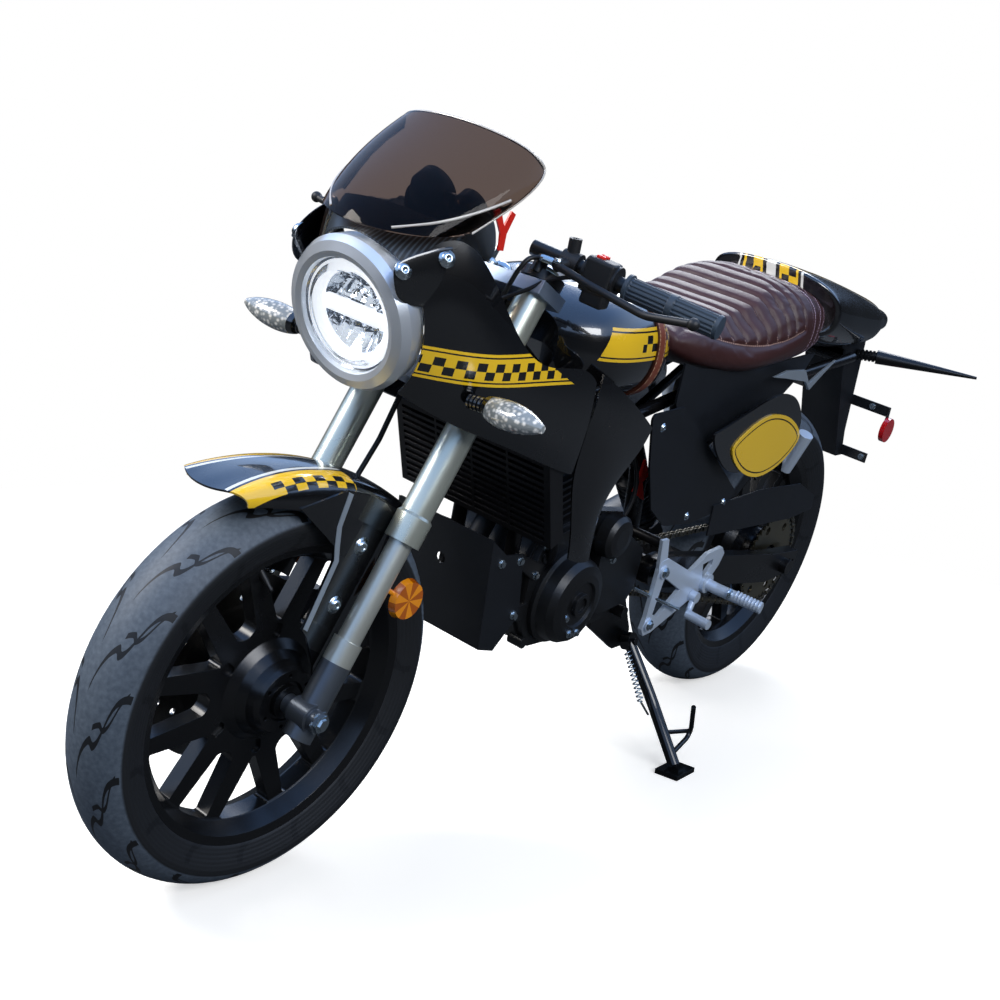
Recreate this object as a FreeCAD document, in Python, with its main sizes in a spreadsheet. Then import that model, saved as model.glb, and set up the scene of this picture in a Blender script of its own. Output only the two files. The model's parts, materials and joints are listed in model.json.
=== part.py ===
"""Cafe racer motorcycle, parked on its side stand.

Every piece is drawn on the upright machine: X points forward, Y to the rider's left, Z up,
with the rear axle above X = 0 and the ground at Z = 0. Its Placement then leans it onto the
side stand, and the pieces that steer are also turned by the small angle at which they rest.
Lengths are millimetres and angles degrees.
"""
import FreeCAD, Part
import Sketcher
import math
import os
import re
from FreeCAD import Placement, Rotation, Vector

doc = FreeCAD.newDocument("CafeRacer")
sheet = doc.addObject("Spreadsheet::Sheet", "sizes")

DIMENSIONS = {
    # stance
    "wheelbase": 1376.7,
    "lean": 9.0,
    "steer_rest": -3.6,
    "rake": 25.3,
    "fork_offset": 35.9,
    # tyres 110/70-17 and 140/70-17
    "front_tyre_radius": 292.4,
    "front_tyre_half": 55.0,
    "rear_tyre_radius": 314.0,
    "rear_tyre_half": 70.0,
    "bead_radius": 219.0,
    "crown_drop": 0.62,
    "tyre_facets": 64,
    # cast wheels
    "rim_lip": 229.0,
    "rim_well": 196.0,
    "rim_wall": 6.0,
    "front_rim_half": 43.0,
    "rear_rim_half": 56.0,
    "spoke_count": 6,
    "spoke_turn": 29.5,
    "web_left": 14.0,
    "web_right": 10.0,
    "fork_of_spoke": 100.0,
    "window_rim": 195.0,
    "hub_bolt_ring": 38.0,
    # fork
    "fork_half": 92.6,
    "outer_tube": 22.5,
    "inner_tube": 17.0,
    "axle_lead": 8.0,
    # brakes and final drive
    "front_disc": 140.0,
    "rear_disc": 110.0,
    "disc_side": 66.0,
    "disc_thick": 4.5,
    "chain_side": 88.0,
    "front_sprocket": 34.0,
    "rear_sprocket": 98.0,
    "chain_pitch": 15.875,
    "pivot_ahead": 560.0,
    "pivot_height": 385.0,
    # lamp
    "lamp_ahead": 1363.8,
    "lamp_height": 817.8,
    "lamp_radius": 103.0,
    "lamp_droop": 16.8,
    # threads for mirrors and for a paddock stand's spools
    "mirror_thread": 5.0,
    "mirror_thread_depth": 18.0,
    "spool_thread": 4.0,
    "spool_thread_depth": 20.0,
    "spool_ahead": -50.0,
    "spool_height": 316.0,
    # side stand
    "stand_pivot_ahead": 508.0,
    "stand_pivot_side": 86.0,
    "stand_pivot_height": 222.0,
    "stand_pivot_tilt": 17.0,
    "stand_foot_ahead": 525.0,
    "stand_foot_side": 257.0,
    # panels
    "skin": 3.0,
}
for row, (word, value) in enumerate(DIMENSIONS.items(), start=1):
    sheet.set(f"A{row}", word)
    sheet.set(f"B{row}", str(value))
    sheet.setAlias(f"B{row}", word)
doc.recompute()


def size(word):
    return float(sheet.get(word))


# Frames of reference

RAKE = math.radians(size("rake"))
UP_FORK = Vector(-math.sin(RAKE), 0, math.cos(RAKE))
FORWARD_FORK = Vector(math.cos(RAKE), 0, math.sin(RAKE))
REAR_AXLE = Vector(0, 0, size("rear_tyre_radius"))
FRONT_AXLE = Vector(size("wheelbase"), 0, size("front_tyre_radius"))
STEER_POINT = FRONT_AXLE - FORWARD_FORK * size("fork_offset")
SKIN = size("skin")
LEFT = Vector(0, 1, 0)


def turn_about(point, axis, degrees):
    """Placement that turns things about a line through a point."""
    spin = Rotation(axis, degrees)
    return Placement(point - spin.multVec(point), spin)


STEER = turn_about(STEER_POINT, UP_FORK, size("steer_rest"))


def lowest_of_wheel(stance, axle, radius, half):
    """Height of the lowest point of a tyre with a round crown."""
    drop = size("crown_drop")
    crown = half * (1 + drop ** 2) / (2 * drop)
    centre = stance.multVec(axle)
    spindle = stance.Rotation.multVec(LEFT)
    return centre.z - (radius - crown) * math.sqrt(1 - spindle.z ** 2) - crown


def park():
    """Leans the machine and sets both tyres on the floor."""
    stance = Placement(Vector(0, 0, 0), Rotation(Vector(1, 0, 0), -size("lean")))
    for _ in range(4):
        rear = lowest_of_wheel(stance, REAR_AXLE, size("rear_tyre_radius"), size("rear_tyre_half"))
        front = lowest_of_wheel(stance.multiply(STEER), FRONT_AXLE,
                                size("front_tyre_radius"), size("front_tyre_half"))
        pitch = math.degrees((front - rear) / size("wheelbase"))
        nose = Placement(Vector(0, 0, 0), Rotation(LEFT, pitch))
        stance = Placement(Vector(0, 0, -rear), Rotation()).multiply(nose).multiply(stance)
    return stance


PARKED = park()
STEERED = PARKED.multiply(STEER)


# Ways of making shapes

def vec(*numbers):
    return Vector(*numbers)


def along_fork(up, side=0.0, ahead=0.0):
    """Point of the fork: up from the axle's foot along the tube, to one side, ahead of the tube."""
    foot = FRONT_AXLE - FORWARD_FORK * size("axle_lead")
    return foot + UP_FORK * up + LEFT * side + FORWARD_FORK * ahead


def mirrored(shape):
    """The same shape on the other side of the machine."""
    return shape.mirror(Vector(0, 0, 0), LEFT)


def both_sides(shape):
    return Part.makeCompound([shape, mirrored(shape)])


def rod(start, end, radius, radius_end=None):
    """Round bar between two points, tapered when a second radius is given."""
    run = end - start
    if radius_end is None or abs(radius_end - radius) < 1e-6:
        return Part.makeCylinder(radius, run.Length, start, run)
    return Part.makeCone(radius, radius_end, run.Length, start, run)


def rounded_path(points, bend):
    """Wire of straight runs joined by tangent arcs."""
    edges = []
    here = points[0]
    for before, corner, after in zip(points, points[1:], points[2:]):
        into = (corner - before).normalize()
        out = (after - corner).normalize()
        turn = into.getAngle(out)
        reach = bend * math.tan(turn / 2)
        room = 0.47 * min((corner - before).Length, (after - corner).Length)
        reach = min(reach, room)
        radius = reach / math.tan(turn / 2)
        start = corner - into * reach
        end = corner + out * reach
        middle = corner + (out - into).normalize() * (radius / math.cos(turn / 2) - radius)
        edges.append(Part.LineSegment(here, start).toShape())
        edges.append(Part.Arc(start, middle, end).toShape())
        here = end
    edges.append(Part.LineSegment(here, points[-1]).toShape())
    return Part.Wire(edges)


def pipe(points, radius, bend=40.0):
    """Round tube along straight runs and tangent arcs."""
    path = rounded_path(points, bend)
    ring = Part.Wire(Part.Circle(points[0], points[1] - points[0], radius).toShape())
    return path.makePipeShell([ring], True, False)


def fuse(shapes):
    whole = shapes[0].multiFuse(shapes[1:]) if len(shapes) > 1 else shapes[0]
    return whole.removeSplitter()


def plate(outline, near, far):
    """Flat piece with a side-view outline of (x, z) points, from one y to another."""
    corners = [Vector(x, near, z) for x, z in outline]
    face = Part.Face(Part.makePolygon(corners + corners[:1]))
    return face.extrude(Vector(0, far - near, 0))


def smooth_plate(outline, near, far):
    """Like plate, with the outline as one smooth closed curve."""
    curve = Part.BSplineCurve()
    curve.interpolate(Points=[Vector(x, near, z) for x, z in outline], PeriodicFlag=True)
    return Part.Face(Part.Wire(curve.toShape())).extrude(Vector(0, far - near, 0))


def oval(ahead, half, low, high, square=2.5, corners=16):
    """Cross-section wire at one station: a rounded box, squarer as the power grows."""
    middle = (low + high) / 2
    tall = (high - low) / 2
    points = []
    for step in range(corners):
        angle = 2 * math.pi * (step + 0.5) / corners
        across, up = math.cos(angle), math.sin(angle)
        across = math.copysign(abs(across) ** (2 / square), across)
        up = math.copysign(abs(up) ** (2 / square), up)
        points.append(Vector(ahead, half * across, middle + tall * up))
    curve = Part.BSplineCurve()
    curve.interpolate(Points=points, PeriodicFlag=True)
    return Part.Wire(curve.toShape())


def loft(wires, ruled=False):
    return Part.makeLoft(wires, True, ruled)


def skin_through(rows, thickness):
    """Thin curved panel: a smooth surface through rows of points, thickened to one side."""
    wires = []
    for row in rows:
        line = Part.BSplineCurve()
        line.interpolate(Points=row)
        wires.append(Part.Wire(line.toShape()))
    surface = Part.makeLoft(wires, False, False)
    return surface.makeOffsetShape(thickness, 0.01, fill=True)


def box(low, high):
    """Box between two corners."""
    run = high - low
    return Part.makeBox(run.x, run.y, run.z, low)


def softened(solid, radius, along):
    """The solid with its edges in one direction rounded."""
    edges = [edge for edge in solid.Edges
             if abs(edge.tangentAt(edge.FirstParameter).dot(along)) > 0.999]
    return solid.makeFillet(radius, edges)


def turned(profile, centre, axis):
    """Solid of revolution. The profile is (radius, along) pairs round the axis."""
    out = Rotation(Vector(0, 0, 1), axis)
    corners = [Vector(radius, 0, along) for radius, along in profile]
    face = Part.Face(Part.makePolygon(corners + corners[:1]))
    solid = face.revolve(Vector(0, 0, 0), Vector(0, 0, 1), 360)
    solid.Placement = Placement(centre, out)
    return solid


nodes = {}
cuts = []


def keep(name, shape, stance=PARKED):
    """Adds one sub-part made with Part's own functions."""
    piece = doc.addObject("Part::Feature", name)
    piece.Label = name
    piece.Shape = shape
    piece.Placement = stance.multiply(piece.Placement)
    nodes[name] = piece
    return piece


# Bodies made from sketches

def origin_plane(body, role):
    return [item for item in body.Origin.OriginFeatures if item.Role == role][0]


def new_body(name, centre, stance, turn=Rotation()):
    body = doc.addObject("PartDesign::Body", name)
    body.Label = name
    body.Placement = stance.multiply(Placement(centre, turn))
    nodes[name] = body
    return body


def new_sketch(body, name, role, turn=0.0, lift=0.0):
    """Sketch on one of the body's own planes, turned in it and lifted off it."""
    sketch = body.newObject("Sketcher::SketchObject", name)
    sketch.AttachmentSupport = [(origin_plane(body, role), "")]
    sketch.MapMode = "FlatFace"
    sketch.AttachmentOffset = Placement(vec(0, 0, lift), Rotation(vec(0, 0, 1), turn))
    return sketch


def with_sheet(expression):
    """The expression with every word of the sheet written the way other objects read it."""
    return re.sub(r"[a-z][a-z_]+", lambda found: "sizes." + found.group(0), expression)


def draw(sketch, corners):
    """Closed outline whose corners are pairs of expressions of the sheet's words.

    A corner with a third entry starts an arc of that radius to the next corner, bulging to the
    right of the way from this corner to the next.
    """
    places = [Vector(sheet.evalExpression(c[0]), sheet.evalExpression(c[1]), 0) for c in corners]
    count = len(corners)
    for index, corner in enumerate(corners):
        start, end = places[index], places[(index + 1) % count]
        if len(corner) == 2:
            sketch.addGeometry(Part.LineSegment(start, end), False)
            continue
        radius = float(sheet.evalExpression(corner[2]))
        chord = end - start
        right = Vector(chord.y, -chord.x, 0).normalize()
        rise = radius - math.sqrt(radius ** 2 - (chord.Length / 2) ** 2)
        sketch.addGeometry(Part.Arc(start, (start + end) * 0.5 + right * rise, end), False)
    ends = []
    for index in range(count):
        arc = sketch.Geometry[index]
        first, last = 1, 2
        if hasattr(arc, "Center") and (arc.StartPoint - places[index]).Length > 1e-3:
            first, last = 2, 1
        ends.append((first, last))
    for index in range(count):
        following = (index + 1) % count
        sketch.addConstraint(Sketcher.Constraint("Coincident", index, ends[index][1],
                                                 following, ends[following][0]))
    for index, corner in enumerate(corners):
        for kind, expression, number in (("DistanceX", corner[0], places[index].x),
                                         ("DistanceY", corner[1], places[index].y)):
            spot = sketch.addConstraint(Sketcher.Constraint(kind, -1, 1, index,
                                                            ends[index][0], number))
            sketch.setExpression(f"Constraints[{spot}]", with_sheet(expression))
        if len(corner) == 3:
            radius = float(sheet.evalExpression(corner[2]))
            spot = sketch.addConstraint(Sketcher.Constraint("Radius", index, radius))
            sketch.setExpression(f"Constraints[{spot}]", with_sheet(corner[2]))


def hole_at(sketch, across, up, radius):
    """Circle in a sketch, its place and radius bound to the sheet."""
    spot = vec(sheet.evalExpression(across), sheet.evalExpression(up), 0)
    measure = float(sheet.evalExpression(radius))
    index = sketch.addGeometry(Part.Circle(spot, vec(0, 0, 1), measure), False)
    for kind, expression, number in (("DistanceX", across, spot.x), ("DistanceY", up, spot.y)):
        row = sketch.addConstraint(Sketcher.Constraint(kind, -1, 1, index, 3, number))
        sketch.setExpression(f"Constraints[{row}]", with_sheet(expression))
    row = sketch.addConstraint(Sketcher.Constraint("Radius", index, measure))
    sketch.setExpression(f"Constraints[{row}]", with_sheet(radius))


def revolve(body, sketch, axis="V_Axis"):
    feature = body.newObject("PartDesign::Revolution", sketch.Name + "Turned")
    feature.Profile = sketch
    feature.ReferenceAxis = (sketch, [axis])
    feature.Angle = 360
    return feature


def pad(body, sketch, length, flip=False):
    feature = body.newObject("PartDesign::Pad", sketch.Name + "Pad")
    feature.Profile = sketch
    feature.setExpression("Length", with_sheet(length))
    feature.Reversed = flip
    return feature


def pocket(body, sketch, depth, flip=False):
    """Cuts a sketch into its body. The cut goes against the sketch's normal unless flipped."""
    feature = body.newObject("PartDesign::Pocket", sketch.Name + "Cut")
    feature.Profile = sketch
    feature.setExpression("Length", with_sheet(depth))
    feature.Reversed = flip
    cuts.append(feature)
    return feature


def repeat_round(body, feature, count):
    """Repeats a feature round the normal of its sketch."""
    pattern = body.newObject("PartDesign::PolarPattern", feature.Name + "Round")
    pattern.Originals = [feature]
    pattern.Axis = (feature.Profile[0], ["N_Axis"])
    pattern.Angle = 360
    pattern.setExpression("Occurrences", with_sheet(count))
    body.Tip = pattern
    return pattern


def repeat_in_line(body, feature, axis, length, count):
    """Repeats a feature along one axis of its sketch."""
    pattern = body.newObject("PartDesign::LinearPattern", feature.Name + "Row")
    pattern.Originals = [feature]
    pattern.Direction = (feature.Profile[0], [axis])
    pattern.Length = length
    pattern.Occurrences = count
    body.Tip = pattern
    return pattern


def turn_body(name, centre, axis, stance, section):
    """Body of revolution round an axis; its section is (radius, along) pairs of expressions."""
    body = new_body(name, centre, stance, Rotation(LEFT, axis))
    sketch = new_sketch(body, name + "Section", "XY_Plane")
    draw(sketch, section)
    revolve(body, sketch)
    return body


# Wheels


def crown_points(radius, half, contact):
    """Tyre's round crown as a few chords, with a corner where the leaning tyre meets the floor."""
    drop = size("crown_drop")
    crown = half * (1 + drop ** 2) / (2 * drop)
    limit = math.degrees(math.asin(half / crown))
    angles = [contact + (limit - contact) * step / 3 for step in range(4)]
    angles = [-angle for angle in reversed(angles)] + angles
    centre = radius - crown
    return [(centre + crown * math.cos(math.radians(angle)), crown * math.sin(math.radians(angle)))
            for angle in angles]


def faceted_ring(section, count):
    """Ring of flat facets round the Y axis, from a section of (radius, along) corners."""
    spots = []
    for number in range(count):
        angle = 2 * math.pi * number / count
        spots.append([vec(radius * math.cos(angle), along, radius * math.sin(angle))
                      for radius, along in section])
    faces = []
    for number in range(count):
        here, there = spots[number], spots[(number + 1) % count]
        for corner in range(len(section)):
            following = (corner + 1) % len(section)
            quad = [here[corner], here[following], there[following], there[corner]]
            faces.append(Part.Face(Part.makePolygon(quad + quad[:1])))
    solid = Part.makeSolid(Part.makeShell(faces))
    if solid.Volume < 0:
        solid.reverse()
    return solid


def make_tyre(name, centre, stance, radius, half, rim_half):
    """Tyre as one ring: round crown, sidewalls and beads."""
    contact = math.degrees(math.asin(abs(stance.Rotation.multVec(LEFT).z)))
    bead = size("bead_radius")
    section = [(bead, rim_half - 7), (bead, 7 - rim_half), (bead + 18, -rim_half - 3)]
    section += crown_points(radius, half, contact)
    section.append((bead + 18, rim_half + 3))
    tyre = faceted_ring(section, int(size("tyre_facets")))
    tyre.translate(centre)
    keep(name, tyre, stance)


def make_rim(name, centre, stance, half, hub_left, hub_right, bell):
    """Cast wheel: drop-centre rim, web cut into forked spokes, and a bell-shaped hub."""
    body = new_body(name, centre, stance)
    section = new_sketch(body, name + "Section", "XY_Plane")
    draw(section, [
        ("rim_lip", f"-{half}"),
        ("bead_radius - 1", f"5 - {half}"),
        ("bead_radius - 3", f"17 - {half}"),
        ("rim_well + rim_wall", f"24 - {half}"),
        ("rim_well + rim_wall", f"{half} - 24"),
        ("bead_radius - 3", f"{half} - 17"),
        ("bead_radius - 1", f"{half} - 5"),
        ("rim_lip", f"{half}"),
        ("rim_lip - 7", f"{half}"),
        ("bead_radius - 10", f"{half} - 5"),
        ("rim_well", f"{half} - 27"),
        ("rim_well - 3", "web_left"),
    ] + bell + [
        ("30", f"{hub_left} - 2"),
        ("28", f"{hub_left} - 7"),
        ("24", f"{hub_left} - 7"),
        ("24", f"{hub_left} + 2"),
        ("9.5", f"{hub_left} + 2"),
        ("9.5", f"-{hub_right}"),
        ("40", f"-{hub_right}"),
        ("46", f"10 - {hub_right}"),
        ("46", "-web_right"),
        ("rim_well - 3", "-web_right"),
        ("rim_well", f"27 - {half}"),
        ("bead_radius - 10", f"5 - {half}"),
        ("rim_lip - 7", f"-{half}"),
    ])
    revolve(body, section)
    turn = size("spoke_turn")
    fork = new_sketch(body, name + "Fork", "XZ_Plane", turn, size("web_right") + 4)
    draw(fork, [
        ("fork_of_spoke + 5", "3.5", "5"),
        ("fork_of_spoke + 5", "-3.5"),
        ("window_rim - 9", "-44", "6"),
        ("window_rim - 4", "-38", "window_rim"),
        ("window_rim - 4", "38", "6"),
        ("window_rim - 9", "44"),
    ])
    repeat_round(body, pocket(body, fork, "web_left + web_right + 8"), "spoke_count")
    between = new_sketch(body, name + "Between", "XZ_Plane", turn + 180 / size("spoke_count"),
                         size("web_right") + 4)
    draw(between, [
        ("fork_of_spoke + 8", "17", "20"),
        ("fork_of_spoke + 8", "-17"),
        ("window_rim - 8", "-30", "7"),
        ("window_rim - 2", "-24", "window_rim"),
        ("window_rim - 2", "24", "7"),
        ("window_rim - 8", "30"),
    ])
    repeat_round(body, pocket(body, between, "web_left + web_right + 8"), "spoke_count")
    groove = new_sketch(body, name + "Channel", "XZ_Plane", turn, -size("web_left"))
    draw(groove, [
        ("80", "-7"),
        ("fork_of_spoke - 6", "-9", "11"),
        ("fork_of_spoke - 6", "9"),
        ("80", "7", "9"),
    ])
    repeat_round(body, pocket(body, groove, "5", True), "spoke_count")
    bolt = new_sketch(body, name + "Bolt", "XZ_Plane", turn, 2 - float(hub_left))
    hole_at(bolt, "hub_bolt_ring", "0", "3.2")
    repeat_round(body, pocket(body, bolt, "9", True), "spoke_count")


def make_disc(name, centre, stance, radius):
    """Brake disc: a braking ring with round holes, on a dished carrier with six arms' windows."""
    side = f"-{size('disc_side')}"
    body = new_body(name, centre, stance)
    section = new_sketch(body, name + "Section", "XY_Plane")
    draw(section, [
        ("30", f"{side} - 3"),
        (f"{radius} * 0.62", f"{side} - 3"),
        (f"{radius} * 0.66", f"{side} - disc_thick / 2"),
        (radius, f"{side} - disc_thick / 2"),
        (radius, f"{side} + disc_thick / 2"),
        (f"{radius} * 0.66", f"{side} + disc_thick / 2"),
        (f"{radius} * 0.62", f"{side} + 3"),
        ("30", f"{side} + 3"),
    ])
    revolve(body, section)
    lift = size("disc_side") + 5
    for share, turn in ((0.74, 0), (0.88, 15)):
        ring = new_sketch(body, f"{name}Holes{turn}", "XZ_Plane", turn, lift)
        hole_at(ring, f"{radius} * {share}", "0", "4.5")
        repeat_round(body, pocket(body, ring, "10"), "12")
    window = new_sketch(body, name + "Window", "XZ_Plane", 0, lift)
    draw(window, [
        ("39", "-8"),
        (f"{radius} * 0.58", "-14", f"{radius} * 0.6"),
        (f"{radius} * 0.58", "14"),
        ("39", "8"),
    ])
    repeat_round(body, pocket(body, window, "10"), "6")


def make_wheels():
    make_tyre("front_tyre", FRONT_AXLE, STEERED, size("front_tyre_radius"),
              size("front_tyre_half"), size("front_rim_half"))
    make_tyre("rear_tyre", REAR_AXLE, PARKED, size("rear_tyre_radius"),
              size("rear_tyre_half"), size("rear_rim_half"))
    make_rim("front_rim", FRONT_AXLE, STEERED, "front_rim_half", "56", "63",
             [("76", "web_left"), ("64", "24"), ("55", "36"), ("50", "47"), ("46", "54")])
    make_rim("rear_rim", REAR_AXLE, PARKED, "rear_rim_half", "85.5", "63",
             [("76", "web_left"), ("60", "32"), ("56", "50"), ("60", "66"), ("70", "72"),
              ("70", "85.5"), ("32", "85.5")])
    make_disc("front_disc", FRONT_AXLE, STEERED, "front_disc")
    make_disc("rear_disc", REAR_AXLE, PARKED, "rear_disc")


# Fork and steering

def make_fork():
    half = size("fork_half")
    outer, inner = size("outer_tube"), size("inner_tube")
    tubes, lowers = [], []
    for side in (half, -half):
        upper = turned([
            (inner + 0.4, 262), (26, 262), (26, 300), (outer, 304), (outer, 676),
            (18, 680), (18, 684), (0, 684), (0, 650), (inner + 0.4, 650)],
            along_fork(0, side), UP_FORK)
        tubes.append(upper)
        slider = rod(along_fork(40, side), along_fork(600, side), inner)
        casting = rod(along_fork(-34, side), along_fork(112, side), 21)
        boss = rod(along_fork(0, side - 17, 8), along_fork(0, side + 17, 8), 20)
        lowers.append(fuse([slider, casting, boss]))
    keep("fork_outer_tubes", Part.makeCompound(tubes), STEERED)
    spindle = rod(FRONT_AXLE + LEFT * (-half - 30), FRONT_AXLE + LEFT * (half + 26), 8.5)
    nut = rod(FRONT_AXLE + LEFT * (half + 17), FRONT_AXLE + LEFT * (half + 30), 15)
    spacers = [rod(FRONT_AXLE + LEFT * 58.5, FRONT_AXLE + LEFT * (half - 17), 14),
               rod(FRONT_AXLE - LEFT * 63.5, FRONT_AXLE - LEFT * (half - 17), 11.5)]
    keep("fork_sliders", fuse(lowers + spacers + [spindle, nut]), STEERED)


def make_yokes():
    half = size("fork_half")
    outer = size("outer_tube")
    steer_up = lambda up: along_fork(up, 0, size("axle_lead") - size("fork_offset"))
    pieces = []
    for up, thick in ((470, 34), (640, 20)):
        bridge = loft([cross_bar(up, thick, -half - 29), cross_bar(up, thick, 0, 30),
                       cross_bar(up, thick, half + 29)], True)
        pieces.append(bridge)
    stem = rod(steer_up(455), steer_up(672), 13)
    yoke = fuse(pieces + [stem])
    for side in (half, -half):
        yoke = yoke.cut(rod(along_fork(440, side), along_fork(700, side), outer))
    keep("fork_yokes", yoke, STEERED)


def cross_bar(up, thick, side, extra=0.0):
    """Section of a fork yoke at one side distance."""
    front, back = 30 - extra * 0.3, -32 - extra
    corners = [along_fork(up, side, front), along_fork(up + thick, side, front),
               along_fork(up + thick, side, back), along_fork(up, side, back)]
    return Part.makePolygon(corners + corners[:1])


def bar_line(sign):
    """Root and tip of one handlebar and the direction between them."""
    root = vec(1100, sign * 78, 934)
    tip = vec(1034, sign * 352, 900)
    return root, tip, (tip - root).normalize()


def mirror_mouth(sign):
    """Mouth of the threaded hole for a mirror, on the lever's perch."""
    _, tip, run = bar_line(sign)
    return tip - run * 224 + vec(2, 0, 34)


def make_handlebars():
    """Clip-on bars clamped to the fork tubes above the top yoke, with grips and controls."""
    half = size("fork_half")
    bars, grips, controls = [], [], []
    for sign in (1, -1):
        clamp = rod(along_fork(662, sign * half), along_fork(676, sign * half), 31)
        clamp = clamp.cut(rod(along_fork(650, sign * half), along_fork(690, sign * half),
                              size("outer_tube")))
        root, tip, run = bar_line(sign)
        arm = pipe([along_fork(669, sign * (half + 4), 24), root + run * 20,
                    root + run * 60], 10, 12)
        bar = rod(root, tip - run * 5, 11)
        tube = rod(along_fork(600, sign * half), along_fork(720, sign * half), size("outer_tube"))
        bars.append(fuse([clamp, bar, arm]).cut(tube))
        start = tip - run * 138
        grips.append(rod(start, tip + run * 2, 17).cut(rod(start - run, tip - run * 4, 11)))
        block_mid = tip - run * 176
        block = rod(block_mid - run * 24, block_mid + run * 24, 22)
        perch_mid = tip - run * 224
        perch = rod(perch_mid - run * 13, perch_mid + run * 13, 17)
        pivot = perch_mid + vec(30, 0, -4)
        mouth = mirror_mouth(sign)
        perch = fuse([perch, rod(perch_mid, pivot, 9), rod(perch_mid, mouth, 9)])
        way = (mouth - perch_mid).normalize()
        mirror_hole = rod(mouth - way * size("mirror_thread_depth"), mouth + way,
                          size("mirror_thread"))
        lever = pipe([pivot, pivot + run * 60 + vec(14, 0, -4), pivot + run * 150 + vec(22, 0, -10),
                      tip + vec(66, 0, 4)], 5.5, 60)
        ball = Part.makeSphere(8.5, tip + vec(66, 0, 4))
        parts = [block, perch, lever, ball]
        if sign < 0:
            bowl = perch_mid - run * 34
            parts += [rod(bowl + vec(6, 0, 10), bowl + vec(10, 0, 42), 21),
                      rod(perch_mid - run * 40, perch_mid, 14)]
        whole = fuse(parts)
        controls.append(whole.cut(bars[-1]).cut(mirror_hole))
    keep("handlebars", Part.makeCompound(bars), STEERED)
    keep("hand_grips", Part.makeCompound(grips), STEERED)
    keep("hand_controls", Part.makeCompound(controls), STEERED)


def make_front_mudguard():
    """Mudguard over the front tyre, flared at its front lip, and a blade down to each fork foot."""
    rows = []
    for ahead, sweep, crown, depth, half in (
            (28.5, 3.7, 352, 28, 60), (17, 1, 339, 38, 63), (5, 0, 328, 47, 64),
            (-9, 0, 320, 50, 64), (-25, 0, 317, 50, 64), (-42, 0, 316, 46, 62)):
        row = []
        for side, drop in ((-1, 1), (-0.99, 0.55), (-0.84, 0.2), (-0.45, 0.04), (0, 0),
                           (0.45, 0.04), (0.84, 0.2), (0.99, 0.55), (1, 1)):
            angle = math.radians(90 - ahead + sweep * side ** 2)
            row.append(FRONT_AXLE + ray(angle) * (crown - depth * drop) + LEFT * half * side)
        rows.append(row)
    shell = skin_through(rows, -SKIN)
    outline = [(1430, 580), (1350, 598), (1307, 588), (1272, 572), (1256, 556), (1254, 537),
               (1264, 505), (1317, 365), (1327, 328), (1346, 324), (1352, 346), (1374, 391),
               (1386, 405), (1353, 500), (1358, 522)]
    blades = [plate(outline, sign * 63, sign * 67) for sign in (1, -1)]
    whole = fuse([shell] + blades)
    whole = whole.cut(rod(FRONT_AXLE - LEFT * 50, FRONT_AXLE - LEFT * 90,
                          size("front_disc") + 7))
    for sign in (1, -1):
        whole = whole.cut(rod(along_fork(-60, sign * size("fork_half")),
                              along_fork(300, sign * size("fork_half")), 27))
    keep("front_mudguard", whole, STEERED)


def make_front_brake():
    side = -size("disc_side")
    spot = along_fork(95, side, -58)
    body = box(vec(-34, -26, -52), vec(34, 22, 52))
    body.Placement = Placement(spot, Rotation(LEFT, -12))
    lug = fuse([rod(spot + vec(6, -20, 34), along_fork(80, -size("fork_half"), -16), 9),
                rod(spot + vec(10, -20, -30), along_fork(40, -size("fork_half"), -16), 9)])
    caliper = fuse([body, lug])
    slot = rod(FRONT_AXLE + LEFT * (side - 5.5), FRONT_AXLE + LEFT * (side + 5.5),
               size("front_disc") + 5)
    leg = rod(along_fork(-40, -size("fork_half")), along_fork(320, -size("fork_half")), 21.2)
    keep("front_caliper", caliper.cut(slot).cut(leg), STEERED)
    hose = pipe([spot + vec(-22, -18, 54), spot + vec(-52, -20, 110), along_fork(290, -74, -48),
                 along_fork(380, -70, -50), along_fork(466, -66, -38)], 4, 60)
    keep("brake_hose", hose, STEERED)
    discs = []
    for sign in (1, -1):
        spot = along_fork(196, sign * (size("fork_half") + 8), -52)
        lens = rod(spot + LEFT * sign * 2, spot + LEFT * sign * 12, 30, 27)
        stalk = rod(spot + LEFT * sign * 6, along_fork(196, sign * (size("fork_half") + 8), -10), 4)
        leg = rod(along_fork(150, sign * size("fork_half")), along_fork(250, sign * size("fork_half")),
                  size("inner_tube") + 0.2)
        discs.append(fuse([lens, stalk]).cut(leg))
    keep("fork_reflectors", Part.makeCompound(discs), STEERED)


# Frame, engine and running gear

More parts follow.
